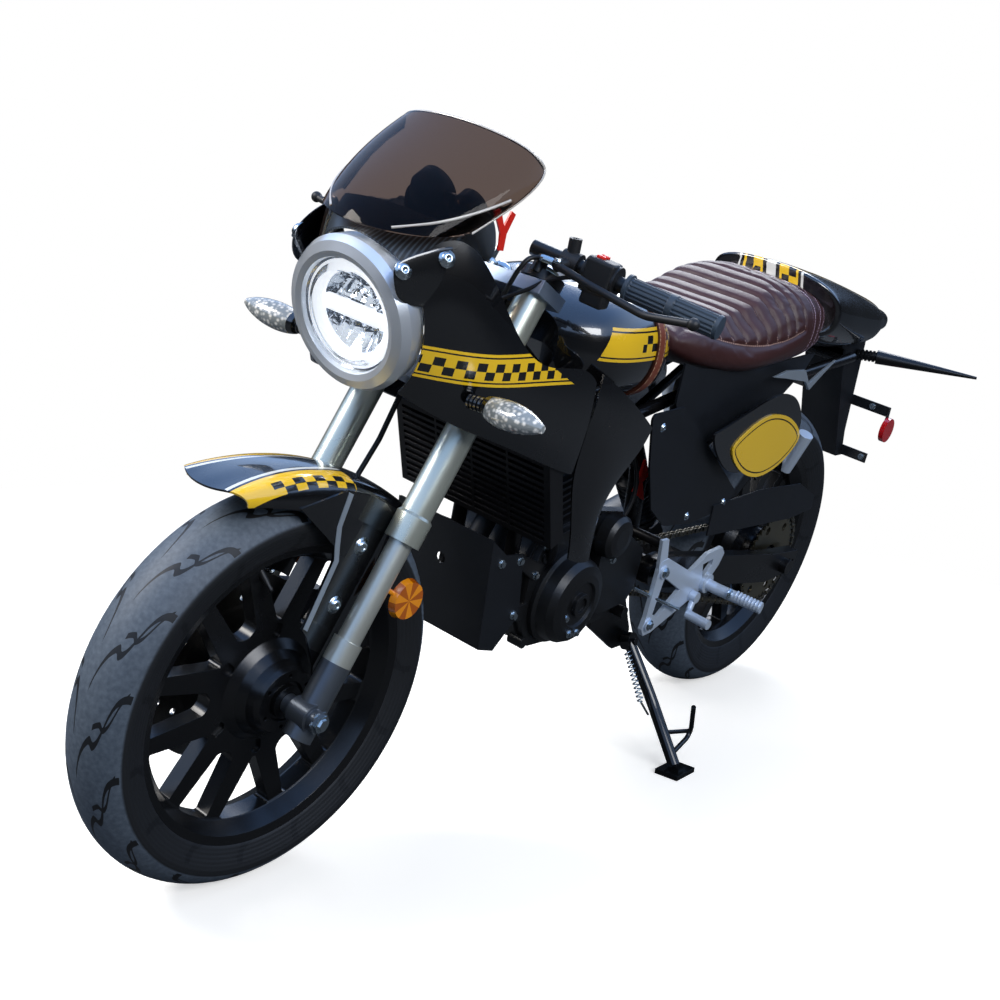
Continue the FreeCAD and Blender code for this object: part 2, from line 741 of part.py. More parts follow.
def make_frame():
    pivot = vec(size("pivot_ahead"), 0, size("pivot_height"))
    behind = size("axle_lead") - size("fork_offset")
    head = rod(along_fork(508, 0, behind), along_fork(636, 0, behind), 27)
    bore = rod(along_fork(500, 0, behind), along_fork(640, 0, behind), 14)
    pieces = [head]
    for sign in (1, -1):
        spar = pipe([vec(1094, sign * 20, 826), vec(930, sign * 60, 706), vec(700, sign * 62, 668),
                     vec(604, sign * 60, 560), vec(560, sign * 60, 385), vec(575, sign * 60, 296)],
                    16, 90)
        down = pipe([vec(1104, sign * 16, 776), vec(1006, sign * 44, 690),
                     vec(944, sign * 56, 590), vec(928, sign * 56, 440)], 12, 80)
        rail = pipe([vec(690, sign * 66, 664), vec(560, sign * 84, 706), vec(200, sign * 84, 712),
                     vec(-180, sign * 60, 740)], 11, 120)
        stay = pipe([vec(580, sign * 60, 500), vec(430, sign * 80, 600),
                     vec(230, sign * 84, 708)], 9, 60)
        shock_lug = plate([(604, 580), (540, 570), (540, 544), (604, 552)], sign * 16, sign * 21)
        pieces += [spar, down, rail, stay, shock_lug,
                   rod(vec(600, sign * 60, 452), vec(600, sign * 140, 452), 9)]
    pieces.append(plate([(545, 318), (590, 306), (640, 288), (640, 268), (535, 205), (492, 205),
                         (488, 236)], 64, 72))
    for spot, half, radius in ((vec(600, 0, 566), 60, 12), (vec(180, 0, 712), 84, 9),
                               (vec(-135, 0, 736), 60, 9), (pivot, 98.5, 22),
                               (vec(575, 0, 296), 97, 11)):
        pieces.append(rod(spot - LEFT * half, spot + LEFT * half, radius))
    pieces.append(rod(pivot - LEFT * 132, pivot + LEFT * 132, 9))
    pieces.append(rod(vec(555, -21, 557), vec(555, 21, 557), 5))
    stand_pin, tilt = stand_points()[0], stand_axis()
    pieces.append(rod(stand_pin - tilt * 14, stand_pin + tilt * 17, 6))
    keep("frame", fuse(pieces).cut(bore))


CASE_OUTLINE = [(890, 476), (770, 500), (670, 476), (606, 430), (592, 350), (640, 296),
                (760, 284), (870, 288), (906, 340), (912, 420)]
CASE_BOLTS = [(880, 448), (780, 482), (640, 318), (882, 298)]


def make_engine():
    """Single cylinder engine: split crankcase, finned barrel, head, throttle body and airbox."""
    half = 90.0
    crankcase = softened(plate(CASE_OUTLINE, -half, half), 16, LEFT)
    seams = []
    for near, far in ((-half + 12, -half + 20), (half - 20, half - 12)):
        grown = [(752 + (x - 752) * 1.03, 388 + (z - 388) * 1.045) for x, z in CASE_OUTLINE]
        seams.append(softened(plate(grown, near, far), 16, LEFT))
    bosses = [rod(vec(x, sign * (half - 24), z), vec(x, sign * (half + 3), z), 10)
              for x, z in CASE_BOLTS for sign in (1, -1)]
    crankcase = fuse([crankcase] + seams + bosses)
    side = size("chain_side")
    drive = vec(650, side, 392)
    recess = [rod(drive - LEFT * 12, drive + LEFT * 40, 56),
              box(vec(560, side - 12, 328), vec(650, half + 20, 450))]
    crankcase = crankcase.cut(fuse(recess))
    shaft = fuse([rod(drive - LEFT * 14, drive + LEFT * 8, 12),
                  rod(drive - LEFT * 4, drive + LEFT * 4, size("front_sprocket") - 2)])
    lugs = []
    for sign in (1, -1):
        lugs.append(plate([(880, 436), (964, 466), (964, 448), (900, 410)],
                          sign * (half - 6), sign * (half + 1.7)))
        lugs.append(plate([(899, 372), (944, 368), (944, 346), (899, 342)],
                          sign * (half - 6), sign * (half + 1.7)))
    keep("engine_block", fuse([crankcase, shaft] + lugs + top_end()))
    make_covers(half)


def top_end():
    """Barrel with its fins, cylinder head and what feeds it, on the crankcase."""
    upright = Vector(0, 0, 1)
    blocks = [softened(box(vec(-52, -52, 0), vec(52, 52, 190)), 12, upright),
              softened(box(vec(-60, -60, 118), vec(60, 60, 192)), 12, upright),
              softened(box(vec(-46, -40, 180), vec(46, 40, 212)), 14, upright)]
    for number in range(7):
        low = 26 + number * 13
        blocks.append(softened(box(vec(-66, -66, low), vec(66, 66, low + 4)), 16, upright))
    lean = Placement(vec(810, 0, 460), Rotation(LEFT, 14))
    for block in blocks:
        block.Placement = lean
    plug = rod(lean.multVec(vec(10, 50, 160)), lean.multVec(vec(10, 92, 182)), 9)
    feed = pipe([vec(800, 0, 618), vec(740, 0, 620), vec(676, 0, 622)], 20, 60)
    throttle = rod(vec(758, 0, 619), vec(712, 0, 621), 29)
    airbox = softened(box(vec(594, -38, 592), vec(690, 38, 654)), 14, LEFT)
    return blocks + [plug, feed, throttle, airbox]


def make_covers(half):
    """Stator cover with its plug, drive sprocket cover with the small round cover, and clutch cover."""
    stator = turned([(0, 0), (82, 0), (82, 8), (76, 12), (73, 30), (66, 41), (52, 45), (40, 46),
                     (38, 41), (0, 41)], vec(812, half + 0.2, 372), LEFT)
    plug = turned([(0, 0), (20, 0), (20, 9), (13, 9), (13, 5), (0, 5)],
                  vec(812, half + 40, 372), LEFT)
    small = turned([(0, 0), (40, 0), (38, 20), (31, 27), (18, 29), (0, 29)],
                   vec(728, half + 14.4, 474), LEFT)
    small_foot = rod(vec(728, half + 0.2, 474), vec(728, half + 16, 474), 34)
    lid = softened(plate([(742, 470), (700, 486), (640, 452), (600, 430), (596, 360), (612, 332),
                          (690, 322), (738, 336)], half + 12, half + 20), 10, LEFT)
    wall = plate([(742, 470), (706, 482), (706, 326), (738, 336)], half + 0.2, half + 13)
    clutch = turned([(0, 0), (92, 0), (92, 8), (87, 12), (85, 30), (76, 42), (30, 44), (0, 44)],
                    vec(756, -half - 0.2, 374), LEFT * -1)
    left_cover = fuse([stator, plug])
    drive_cover = fuse([small, lid, wall, small_foot]).cut(left_cover)
    keep("engine_covers", Part.makeCompound([left_cover, drive_cover, clutch]))


def make_exhaust():
    """Header from the front of the cylinder head, under the engine to a short silencer."""
    header = pipe([vec(915, 0, 604), vec(936, 0, 594), vec(918, -3, 510), vec(944, -8, 440),
                   vec(944, -16, 350), vec(900, -50, 268), vec(740, -108, 258),
                   vec(600, -142, 252), vec(470, -172, 260)], 17, 60)
    can_start, can_end = vec(430, -180, 262), vec(70, -200, 326)
    run = (can_end - can_start).normalize()
    can = rod(can_start, can_end, 42)
    nose = rod(can_start - run * 60, can_start, 20, 42)
    tail = rod(can_end, can_end + run * 34, 42, 30)
    bore = rod(can_end + run * 4, can_end + run * 40, 22)
    keep("exhaust", fuse([header, nose, can, tail]).cut(bore))


def make_radiator():
    """Radiator behind a guard of louvres, with a fan's hood on its back."""
    low, high = vec(975, 0, 500), vec(1040, 0, 642)
    tall = (high - low).Length
    tilt = Rotation(LEFT, math.degrees(math.atan2(high.x - low.x, high.z - low.z)))
    body = new_body("radiator", low, PARKED, tilt)
    core = new_sketch(body, "RadiatorCore", "YZ_Plane")
    draw(core, [("-150", "0"), ("150", "0"), ("150", f"{tall:.1f}"), ("-150", f"{tall:.1f}")])
    pad(body, core, "30", True)
    hood = new_sketch(body, "RadiatorHood", "YZ_Plane", lift=-30)
    hole_at(hood, "0", f"{tall / 2:.1f}", "42")
    pad(body, hood, "8", True)
    for number, start in enumerate((-138, -68, 2, 72)):
        louvre = new_sketch(body, f"RadiatorLouvre{number}", "YZ_Plane")
        draw(louvre, [(str(start), "10"), (str(start + 66), "10"), (str(start + 66), "16"),
                      (str(start), "16")])
        cut = pocket(body, louvre, "8")
        repeat_in_line(body, cut, "V_Axis", 11 * 11.8, 12)


def make_shrouds():
    """Side panels that run from the fairing and the tank down beside the radiator."""
    ribs = [
        [vec(975, 159, 778), vec(986, 166, 730), vec(982, 160, 676), vec(974, 155, 622),
         vec(950, 153, 560), vec(921, 153, 477)],
        [vec(915, 169, 748), vec(925, 172, 710), vec(926, 170, 650), vec(926, 163, 590),
         vec(914, 158, 530), vec(893, 154, 468)],
        [vec(812, 172, 690), vec(826, 172, 660), vec(862, 166, 605), vec(876, 161, 560),
         vec(872, 157, 515), vec(860, 154, 466)],
    ]
    keep("radiator_shrouds", both_sides(skin_through(ribs, -SKIN)))


def make_belly_pan():
    """Folded skid plate before the engine, bolted to it through its two cheeks."""
    front = plate([(1046, 500), (1043, 500), (1010, 318), (972, 307), (972, 304), (1013, 314)],
                  -92, 92)
    cheeks = [plate([(1046, 500), (1013, 314), (972, 304), (948, 330), (930, 350), (926, 366),
                     (956, 466), (1000, 470)], sign * 92, sign * 95) for sign in (1, -1)]
    eye = rod(vec(990, 0, 440), vec(1060, 0, 428), 9)
    keep("belly_pan", fuse([front] + cheeks).cut(eye))


def spool_mouth(sign):
    """Mouth of the threaded hole for a paddock stand's spool."""
    return vec(size("spool_ahead"), sign * 126, size("spool_height"))


def make_swingarm():
    pivot = vec(size("pivot_ahead"), 0, size("pivot_height"))
    pieces = []
    for sign in (1, -1):
        arm = plate([(560, 411), (540, 412), (60, 346), (-62, 338), (-66, 296), (60, 284),
                     (540, 352), (560, 359)], sign * 100, sign * 126)
        lug = plate([(372, 360), (366, 396), (390, 418), (418, 406), (398, 362)],
                    sign * 16, sign * 21)
        pieces += [arm, rod(pivot + LEFT * sign * 100, pivot + LEFT * sign * 126, 26), lug]
    pieces.append(box(vec(362, -126, 340), vec(398, 126, 374)))
    whole = fuse(pieces)
    cuts = [rod(pivot - LEFT * 130, pivot + LEFT * 130, 9.3)]
    for sign in (1, -1):
        cuts.append(box(vec(-36, sign * 113 - 16, 305), vec(-12, sign * 113 + 16, 323)))
        mouth = spool_mouth(sign)
        cuts.append(rod(mouth - LEFT * sign * size("spool_thread_depth"), mouth + LEFT * sign,
                        size("spool_thread")))
    spindle = rod(REAR_AXLE - LEFT * 146, REAR_AXLE + LEFT * 138, 9)
    nut = rod(REAR_AXLE + LEFT * 126, REAR_AXLE + LEFT * 142, 16)
    bolt = rod(vec(402, -21, 402), vec(402, 21, 402), 5)
    spacers = [rod(REAR_AXLE + LEFT * 93, REAR_AXLE + LEFT * 100, 15),
               rod(REAR_AXLE - LEFT * 63.5, REAR_AXLE - LEFT * 100, 15)]
    keep("swingarm", fuse([whole.cut(Part.makeCompound(cuts)), spindle, nut, bolt] + spacers))


def make_final_drive():
    """Rear sprocket with its teeth and holes, and the chain."""
    side = size("chain_side")
    teeth_out, teeth_in = size("rear_sprocket"), size("rear_sprocket") - 8
    teeth = 42
    corners = []
    for number in range(teeth):
        for share, reach in ((0.0, teeth_in), (0.3, teeth_out), (0.55, teeth_out), (0.85, teeth_in)):
            corners.append(ray(2 * math.pi * (number + share) / teeth) * reach)
    face = Part.Face(Part.makePolygon(corners + corners[:1]))
    sprocket = face.extrude(LEFT * 5)
    holes = [Part.makeCylinder(30, 20, vec(0, -5, 0), LEFT)]
    holes += [Part.makeCylinder(9, 20, ray(math.radians(60 * number)) * 76 - LEFT * 5, LEFT)
              for number in range(6)]
    sprocket = sprocket.cut(Part.makeCompound(holes))
    sprocket.translate(REAR_AXLE + LEFT * (side - 2.5))
    keep("rear_sprocket", sprocket)
    keep("chain", chain_loop(side))


def chain_loop(side):
    """Drive chain as one band whose edges are scalloped link by link."""
    front, rear = vec(650, side, 392), REAR_AXLE + LEFT * side
    small, large = size("front_sprocket") + 7, size("rear_sprocket") + 7
    run = front - rear
    slope = math.atan2(run.z, run.x)
    swing = math.acos((large - small) / run.Length)
    straight = math.sqrt(run.Length ** 2 - (large - small) ** 2)
    wrap_large = large * 2 * (math.pi - swing)
    wrap_small = small * 2 * swing
    whole = 2 * straight + wrap_large + wrap_small
    links = round(whole / size("chain_pitch") / 2) * 2

    def spot(way):
        """Place and outward direction at a distance along the chain."""
        way %= whole
        if way < straight:
            angle = slope + swing
            foot = rear + ray(angle) * large
            return foot + (front - rear - ray(angle) * (large - small)) * (way / straight), angle
        way -= straight
        if way < wrap_small:
            angle = slope + swing - way / small
            return front + ray(angle) * small, angle
        way -= wrap_small
        if way < straight:
            angle = slope - swing
            foot = front + ray(angle) * small
            return foot + (rear - front + ray(angle) * (large - small)) * (way / straight), angle
        way -= straight
        angle = slope - swing - way / large
        return rear + ray(angle) * large, angle

    outer, inner = [], []
    for link in range(links):
        for share, tall in ((0.0, 6.0), (0.36, 6.0), (0.68, 4.2)):
            place, angle = spot((link + share - 0.18) * whole / links)
            outer.append(place + ray(angle) * tall)
            inner.append(place - ray(angle) * tall)
    rims = [Part.Face(Part.makePolygon(row + row[:1])) for row in (outer, inner)]
    band = rims[0].cut(rims[1]).extrude(LEFT * 12)
    band.translate(LEFT * -6)
    return band


def ray(angle):
    """Unit direction in side view."""
    return vec(math.cos(angle), 0, math.sin(angle))


def make_guards():
    guard = plate([(430, 500), (250, 512), (60, 505), (-30, 470), (-36, 440), (60, 430),
                   (420, 440)], 132, 135)
    keep("chain_guard", guard)


def make_rear_brake():
    """Caliper over the rear disc, on a bracket that turns round the axle inside the right arm."""
    side = -size("disc_side")
    up = ray(math.radians(52))
    across = ray(math.radians(142))
    caliper = softened(box(vec(-34, -22, -26), vec(34, 18, 24)), 9, LEFT)
    spot = REAR_AXLE + up * 106 + LEFT * side
    caliper.Placement = Placement(spot, Rotation(LEFT, -52 + 90))
    foot = REAR_AXLE + LEFT * (side - 14)
    arm = fuse([rod(foot - LEFT * 8, foot, 24),
                Part.Face(Part.makePolygon([foot + across * 22, foot + across * 16 + up * 96,
                                            foot - across * 26 + up * 96, foot - across * 20,
                                            foot + across * 22])).extrude(LEFT * -8)])
    slot = rod(REAR_AXLE + LEFT * (side - 5), REAR_AXLE + LEFT * (side + 5),
               size("rear_disc") + 5)
    spindle = rod(REAR_AXLE - LEFT * 120, REAR_AXLE + LEFT * 10, 15.3)
    keep("rear_caliper", fuse([caliper, arm]).cut(slot).cut(spindle))


def make_shock():
    low, high = vec(402, 0, 402), vec(555, 0, 557)
    run = (high - low).normalize()
    long = (high - low).Length
    coils = []
    for number in range(8):
        foot = 46 + number * 14
        coils += [(25, foot), (31, foot + 4), (31, foot + 8), (25, foot + 12)]
    body = turned([(0, 10), (12, 10), (12, 34), (32, 38), (32, 44)] + coils +
                  [(25, long - 60), (32, long - 58), (32, long - 50), (15, long - 44),
                   (15, long - 10), (0, long - 10)], low, run)
    eyes = [rod(spot - LEFT * 15, spot + LEFT * 15, 13) for spot in (low, high)]
    bolts = [rod(spot - LEFT * 30, spot + LEFT * 30, 5.3) for spot in (low, high)]
    keep("shock_absorber", fuse([body] + eyes).cut(Part.makeCompound(bolts)))


# Bodywork

def lamp_turned(name, profile):
    """Turned piece of the headlamp; the profile is (along, radius) round the lamp's axis."""
    droop = Rotation(LEFT, size("lamp_droop"))
    centre = vec(size("lamp_ahead"), 0, size("lamp_height"))
    section = [(radius, along) for along, radius in profile]
    turn_body(name, centre, droop.multVec(Vector(1, 0, 0)), PARKED, section)


def make_headlamp():
    lamp_turned("headlamp_ring", [
        ("-34", "lamp_radius - 4"), ("-8", "lamp_radius"), ("4", "lamp_radius - 6"),
        ("9", "lamp_radius - 18"), ("6", "lamp_radius - 26"), ("0", "lamp_radius - 28"),
        ("-6", "lamp_radius - 28"), ("-6", "lamp_radius - 24"), ("-3", "lamp_radius - 22"),
        ("-10", "lamp_radius - 10"), ("-34", "lamp_radius - 8")])
    lamp_turned("headlamp_bowl", [
        ("-6.5", "lamp_radius - 27"), ("-20", "lamp_radius - 27"), ("-60", "lamp_radius - 42"),
        ("-86", "24"), ("-100", "20"), ("-100", "0"), ("-78", "0"), ("-76", "18"),
        ("-54", "lamp_radius - 48"), ("-12", "lamp_radius - 32"), ("-6.5", "lamp_radius - 32")])
    lamp_turned("headlamp_lens", [
        ("-6", "lamp_radius - 28.4"), ("0", "lamp_radius - 28.4"), ("7", "lamp_radius - 44"),
        ("10", "30"), ("11", "0"), ("7", "0"), ("6", "30"), ("3", "lamp_radius - 44"),
        ("-6", "lamp_radius - 36")])


def make_fairing():
    """Two side shells from the lamp back past the fork."""
    ribs = [
        [vec(1362, 76, 898), vec(1340, 106, 836), vec(1330, 100, 780), vec(1326, 76, 738)],
        [vec(1306, 114, 944), vec(1296, 133, 880), vec(1284, 138, 800), vec(1276, 120, 714)],
        [vec(1192, 150, 831), vec(1190, 157, 790), vec(1186, 158, 740), vec(1180, 144, 684)],
        [vec(1080, 158, 790), vec(1080, 163, 755), vec(1078, 164, 705), vec(1072, 152, 649)],
        [vec(996, 163, 768), vec(996, 167, 730), vec(994, 166, 680), vec(985, 156, 624)],
    ]
    keep("fairing_panels", both_sides(skin_through(ribs, -SKIN - 1)))


def make_dash_cover():
    """Ribbed cover between the lamp and the windscreen."""
    rows = []
    for ahead, rise, half, crown in ((1360, 904, 68, 24), (1330, 932, 87, 14), (1298, 951, 104, 10)):
        bow = 22 if crown > 20 else crown * 0.7
        row = []
        for share in (-1, -0.55, 0, 0.55, 1):
            fall = 1 - share ** 2
            row.append(vec(ahead + bow * fall, half * share, rise + crown * fall))
        rows.append(row)
    keep("dash_cover", skin_through(rows, -SKIN))


def make_windscreen():
    """Screen that wraps round the instruments and leans back to a rounded top."""
    rows = []
    for ahead, bow, half, low, high in ((1298, 94, 110, 956, 938), (1256, 88, 124, 990, 990),
                                        (1216, 66, 129, 1022, 1040), (1190, 42, 122, 1044, 1079)):
        points = []
        for degrees in (-90, -60, -30, 0, 30, 60, 90):
            angle = math.radians(degrees)
            share = math.cos(angle)
            points.append(vec(ahead + bow * share, half * math.sin(angle),
                              low + (high - low) * share ** 0.8))
        rows.append(points)
    keep("windscreen", skin_through(rows, -SKIN))


def make_instruments():
    pod = loft([oval(1180, 66, 905, 950, 4), oval(1215, 70, 930, 985, 4),
                oval(1230, 60, 950, 985, 4)])
    keep("instrument_panel", pod)


def ribbed_stalk(root, knee, radius, ribs=5):
    """Flexible stalk with rings round it."""
    run = knee - root
    pitch = run.Length / ribs
    profile = [(0, 0)]
    for number in range(ribs):
        foot = number * pitch
        profile += [(radius, foot), (radius, foot + pitch * 0.55),
                    (radius * 0.8, foot + pitch * 0.62), (radius * 0.8, foot + pitch * 0.94)]
    profile += [(radius, run.Length), (0, run.Length)]
    return turned(profile, root, run.normalize())


def make_signals():
    root = vec(1262, 145, 748)
    knee = vec(1262, 176, 750)
    tip = vec(1271, 268, 754)
    stalk = ribbed_stalk(root, knee, 10.5)
    middle = (knee + tip) * 0.5
    leaf = loft([oval_across(knee + LEFT * -4, 14, 14), oval_across(knee + LEFT * 22, 22, 19),
                 oval_across(middle + LEFT * 12, 20, 17), oval_across(tip, 5, 5)])
    keep("front_signals", both_sides(fuse([stalk, leaf])))


def oval_across(centre, long, tall, corners=10):
    """Round section wire in a plane across Y."""
    points = []
    for step in range(corners):
        angle = 2 * math.pi * step / corners
        points.append(centre + Vector(long * math.cos(angle), 0, tall * math.sin(angle)))
    curve = Part.BSplineCurve()
    curve.interpolate(Points=points, PeriodicFlag=True)
    return Part.Wire(curve.toShape())


def tank_form(grow):
    """Tank's outer form, or the same form a little larger."""
    stations = [(1006, 88, 742, 846, 3), (960, 138, 716, 872, 2.8), (870, 150, 706, 886, 2.6),
                (780, 138, 704, 874, 2.6), (705, 100, 716, 838, 2.8)]
    return loft([oval(ahead, half + grow, low - grow, high + grow, square)
                 for ahead, half, low, high, square in stations])


def make_tank():
    tank = tank_form(0)
    tunnel = plate([(690, 690), (1030, 690), (1030, 812), (930, 745), (690, 745)], -84, 84)
    well = rod(vec(905, 0, 880), vec(905, 0, 900), 35)
    keep("fuel_tank", tank.cut(tunnel).cut(well))
    turn_body("filler_cap", vec(905, 0, 880.3), Vector(0, 0, 1), PARKED,
              [("0", "0"), ("34", "0"), ("34", "8"), ("26", "11"), ("0", "11")])
    strap = tank_form(3.2).cut(tank_form(0.2)).common(box(vec(786, -200, 714), vec(818, 200, 900)))
    keep("tank_strap", strap)


def make_seat():
    seat = loft([oval(668, 96, 772, 826, 3), oval(600, 128, 752, 838, 3),
                 oval(470, 150, 737, 852, 3), oval(340, 150, 740, 890, 3),
                 oval(210, 140, 750, 884, 3), oval(110, 118, 764, 860, 3)])
    keep("seat", seat)
    cowl = loft([oval(330, 128, 852, 912, 2.6), oval(220, 142, 800, 922, 2.6),
                 oval(100, 136, 772, 912, 2.6), oval(-60, 112, 760, 890, 2.6),
                 oval(-220, 84, 764, 864, 2.6), oval(-345, 50, 786, 836, 2.4)])
    inner = loft([oval(331, 124, 700, 908, 2.6), oval(220, 138, 700, 918, 2.6),
                  oval(100, 132, 700, 908, 2.6), oval(-60, 108, 700, 886, 2.6),
                  oval(-220, 80, 700, 860, 2.6), oval(-336, 46, 700, 832, 2.4)])
    cowl = cowl.cut(inner)
    cowl = cowl.cut(loft([oval(680, 97, 740, 828, 3), oval(600, 129, 740, 840, 3),
                          oval(470, 151, 736, 854, 3), oval(340, 151, 739, 892, 3),
                          oval(210, 141, 749, 886, 3), oval(109, 119, 763, 862, 3)]))
    keep("tail_cowl", cowl)


def make_side_covers():
    """Side covers under the seat, the yellow panel on each, and the covers over the pivot."""
    outline = [(545, 655), (430, 690), (240, 690), (205, 640), (250, 590), (400, 570), (500, 600)]
    keep("side_covers", both_sides(smooth_plate(outline, 150, 154)))
    outline = [(470, 618), (425, 655), (350, 677), (262, 664), (200, 624), (246, 577), (327, 556),
               (410, 573)]
    keep("race_panels", both_sides(smooth_plate(outline, 154.3, 157)))
    outline = [(745, 692), (643, 700), (500, 612), (352, 520), (372, 490), (499, 474), (598, 482),
               (660, 520), (706, 600)]
    keep("mid_covers", both_sides(softened(plate(outline, 128, 132), 9, LEFT)))


def make_footrests():
    """Forged footrest plates with their pegs, and the passenger pegs folded up."""
    outline = [(596, 404), (590, 420), (572, 424), (470, 382), (420, 410), (368, 416), (352, 402),
               (360, 380), (395, 340), (440, 322), (560, 278), (584, 276), (596, 290), (592, 312)]
    solid = plate(outline, 140, 148)
    windows = [plate([(566, 386), (572, 316), (548, 306), (492, 350)], 130, 160),
               plate([(428, 390), (392, 396), (390, 384), (414, 358)], 130, 160)]
    solid = solid.cut(Part.makeCompound(windows))
    bolts = [rod(vec(x, 147, z), vec(x, 152, z), 12) for x, z in ((578, 399), (579, 298))]
    bolts.append(rod(vec(400, 147, 350), vec(400, 156, 350), 19))
    mounts = fuse([plate([(612, 462), (590, 462), (566, 400), (592, 392)], 140.5, 147),
                   rod(vec(560, 132.5, 385), vec(560, 142, 385), 12)])
    peg = pipe([vec(400, 144, 350), vec(394, 172, 346), vec(382, 262, 344)], 11, 20)
    pass_peg = rod(vec(160, 132, 545), vec(175, 158, 628), 13, 15)
    bracket = pipe([vec(240, 100, 690), vec(190, 124, 600), vec(160, 132, 545)], 9, 30)
    left = fuse([solid, mounts, peg] + bolts)
    right = mirrored(left)
    keep("footrests", Part.makeCompound([left, right, fuse([bracket, pass_peg]),
                                         mirrored(fuse([bracket, pass_peg]))]))


def make_foot_levers():
    shift = pipe([vec(440, 156, 330), vec(452, 158, 306), vec(472, 168, 306)], 6, 10)
    toe = rod(vec(472, 166, 306), vec(476, 214, 306), 9)
    brake = pipe([vec(440, -156, 330), vec(520, -162, 318), vec(600, -172, 326)], 6, 30)
    pad = box(vec(588, -206, 318), vec(620, -170, 330))
    hubs = [rod(vec(440, sign * 148.5, 330), vec(440, sign * 162, 330), 11) for sign in (1, -1)]
    keep("foot_levers", Part.makeCompound([fuse([shift, toe, hubs[0]]),
                                           fuse([brake, pad, hubs[1]])]))


def make_plate_hanger():
    """Hanger that carries the signals, the two flat bars and the holes for a plate."""
    arm = plate([(-150, 790), (-262, 796), (-318, 560), (-345, 500), (-310, 500), (-200, 690),
                 (-170, 752), (-150, 756)], -46, 46)
    hollow = plate([(-140, 786), (-258, 791), (-312, 560), (-300, 546), (-196, 700), (-166, 757),
                    (-140, 761)], -42, 42)
    bars = [box(vec(-303, -136, 624), vec(-299, 136, 646)),
            box(vec(-334, -108, 504), vec(-330, 108, 526))]
    for sign in (1, -1):
        bars.append(plate([(-303, 646), (-299, 646), (-288, 590), (-312, 590)],
                          sign * 133, sign * 136))
    keep("plate_hanger", fuse([arm.cut(hollow)] + bars))
    discs = [rod(vec(-300, sign * 136.3, 597), vec(-300, sign * 147, 597), 27)
             for sign in (1, -1)]
    keep("side_reflectors", Part.makeCompound(discs))


def make_rear_lamps():
    pieces = []
    for sign in (1, -1):
        root = vec(-235, sign * 50, 742)
        knee = vec(-245, sign * 88, 748)
        tip = vec(-318, sign * 285, 764)
        stalk = ribbed_stalk(root, knee, 12)
        spear = rod(knee, tip, 15, 3)
        pieces.append(fuse([stalk, spear]))
    keep("rear_signals", Part.makeCompound(pieces))
    tail = loft([oval(-346.5, 44, 792, 828, 3), oval(-356, 36, 798, 822, 3)])
    keep("tail_lamp", tail)


# Side stand

def stand_points():
    """Pivot and foot of the stand on the upright machine."""
    pivot = vec(size("stand_pivot_ahead"), size("stand_pivot_side"), size("stand_pivot_height"))
    foot_parked = vec(size("stand_foot_ahead"), size("stand_foot_side"), 5)
    return pivot, PARKED.inverse().multVec(foot_parked)


def stand_axis():
    """Direction of the stand's pivot bolt, tilted so that the foot tucks in as it folds."""
    tilt = math.radians(size("stand_pivot_tilt"))
    return vec(0, math.cos(tilt), math.sin(tilt))


def make_side_stand():
    """Stand leg with its lug, foot and the tang that a rider's heel catches."""
    pivot, foot = stand_points()
    axis = stand_axis()
    lug = rod(pivot - axis * 8, pivot + axis * 11, 17)
    ankle = foot + vec(0, 0, 9)
    leg = pipe([pivot + axis * 2, pivot + (ankle - pivot) * 0.5 + vec(-10, -4, 0), ankle],
               11, 200)
    sole = box(vec(-34, -20, -5), vec(30, 26, 4))
    sole.Placement = Placement(foot, PARKED.inverse().Rotation)
    bend = vec(426, 224, 76)
    tang = pipe([pivot + (ankle - pivot) * 0.92, bend, vec(470, 232, 148)], 4.5, 16)
    strut = rod(pivot + (ankle - pivot) * 0.74, bend + vec(5, 1, 9), 4)
    hole = rod(pivot - axis * 20, pivot + axis * 20, 6.3)
    keep("side_stand", fuse([leg, sole, lug, tang, strut]).cut(hole))


make_wheels()
make_fork()
make_yokes()
make_handlebars()
make_front_mudguard()
make_front_brake()
make_frame()
make_engine()
make_exhaust()
make_radiator()
make_shrouds()
make_belly_pan()
make_swingarm()
make_final_drive()
make_guards()
make_rear_brake()
make_shock()
make_headlamp()
make_fairing()
make_dash_cover()
make_windscreen()
make_instruments()
make_signals()
make_tank()
make_seat()
make_side_covers()
make_footrests()
make_foot_levers()
make_plate_hanger()
make_rear_lamps()
make_side_stand()
doc.recompute()

# Checks and export

for item in doc.Objects:
    if "Invalid" in item.State or "Error" in item.State:
        raise RuntimeError(f"{item.Label} failed: {item.State}")
for cut in cuts:
    if cut.BaseFeature.Shape.Volume - cut.Shape.Volume < 1:
        raise RuntimeError(f"{cut.Label} cut nothing away")


def whole_box():
    bounds = FreeCAD.BoundBox()
    for piece in nodes.values():
        bounds.add(piece.Shape.optimalBoundingBox())
    return bounds


bounds = whole_box()
SHIFT = Vector(bounds.Center.x, bounds.Center.y, 0)
for piece in nodes.values():
    piece.Placement = Placement(SHIFT * -1, Rotation()).multiply(piece.Placement)
os.makedirs("parts", exist_ok=True)
for name, piece in nodes.items():
    shape = piece.Shape
    if shape.isNull() or not shape.isValid():
        raise RuntimeError(f"{name} has no valid shape")
    shape.exportStep(f"parts/{name}.step")
    print(name, len(shape.Solids), "solids", round(shape.Volume / 1000), "cm3")


def report(name, stance, point, direction):
    """Prints a joint's or mount's place and axis in the stored frame."""
    place = stance.multVec(point) - SHIFT
    axis = stance.Rotation.multVec(direction).normalize()
    print("PLACE", name, *[round(value, 3) for value in place],
          *[round(value, 6) for value in axis])


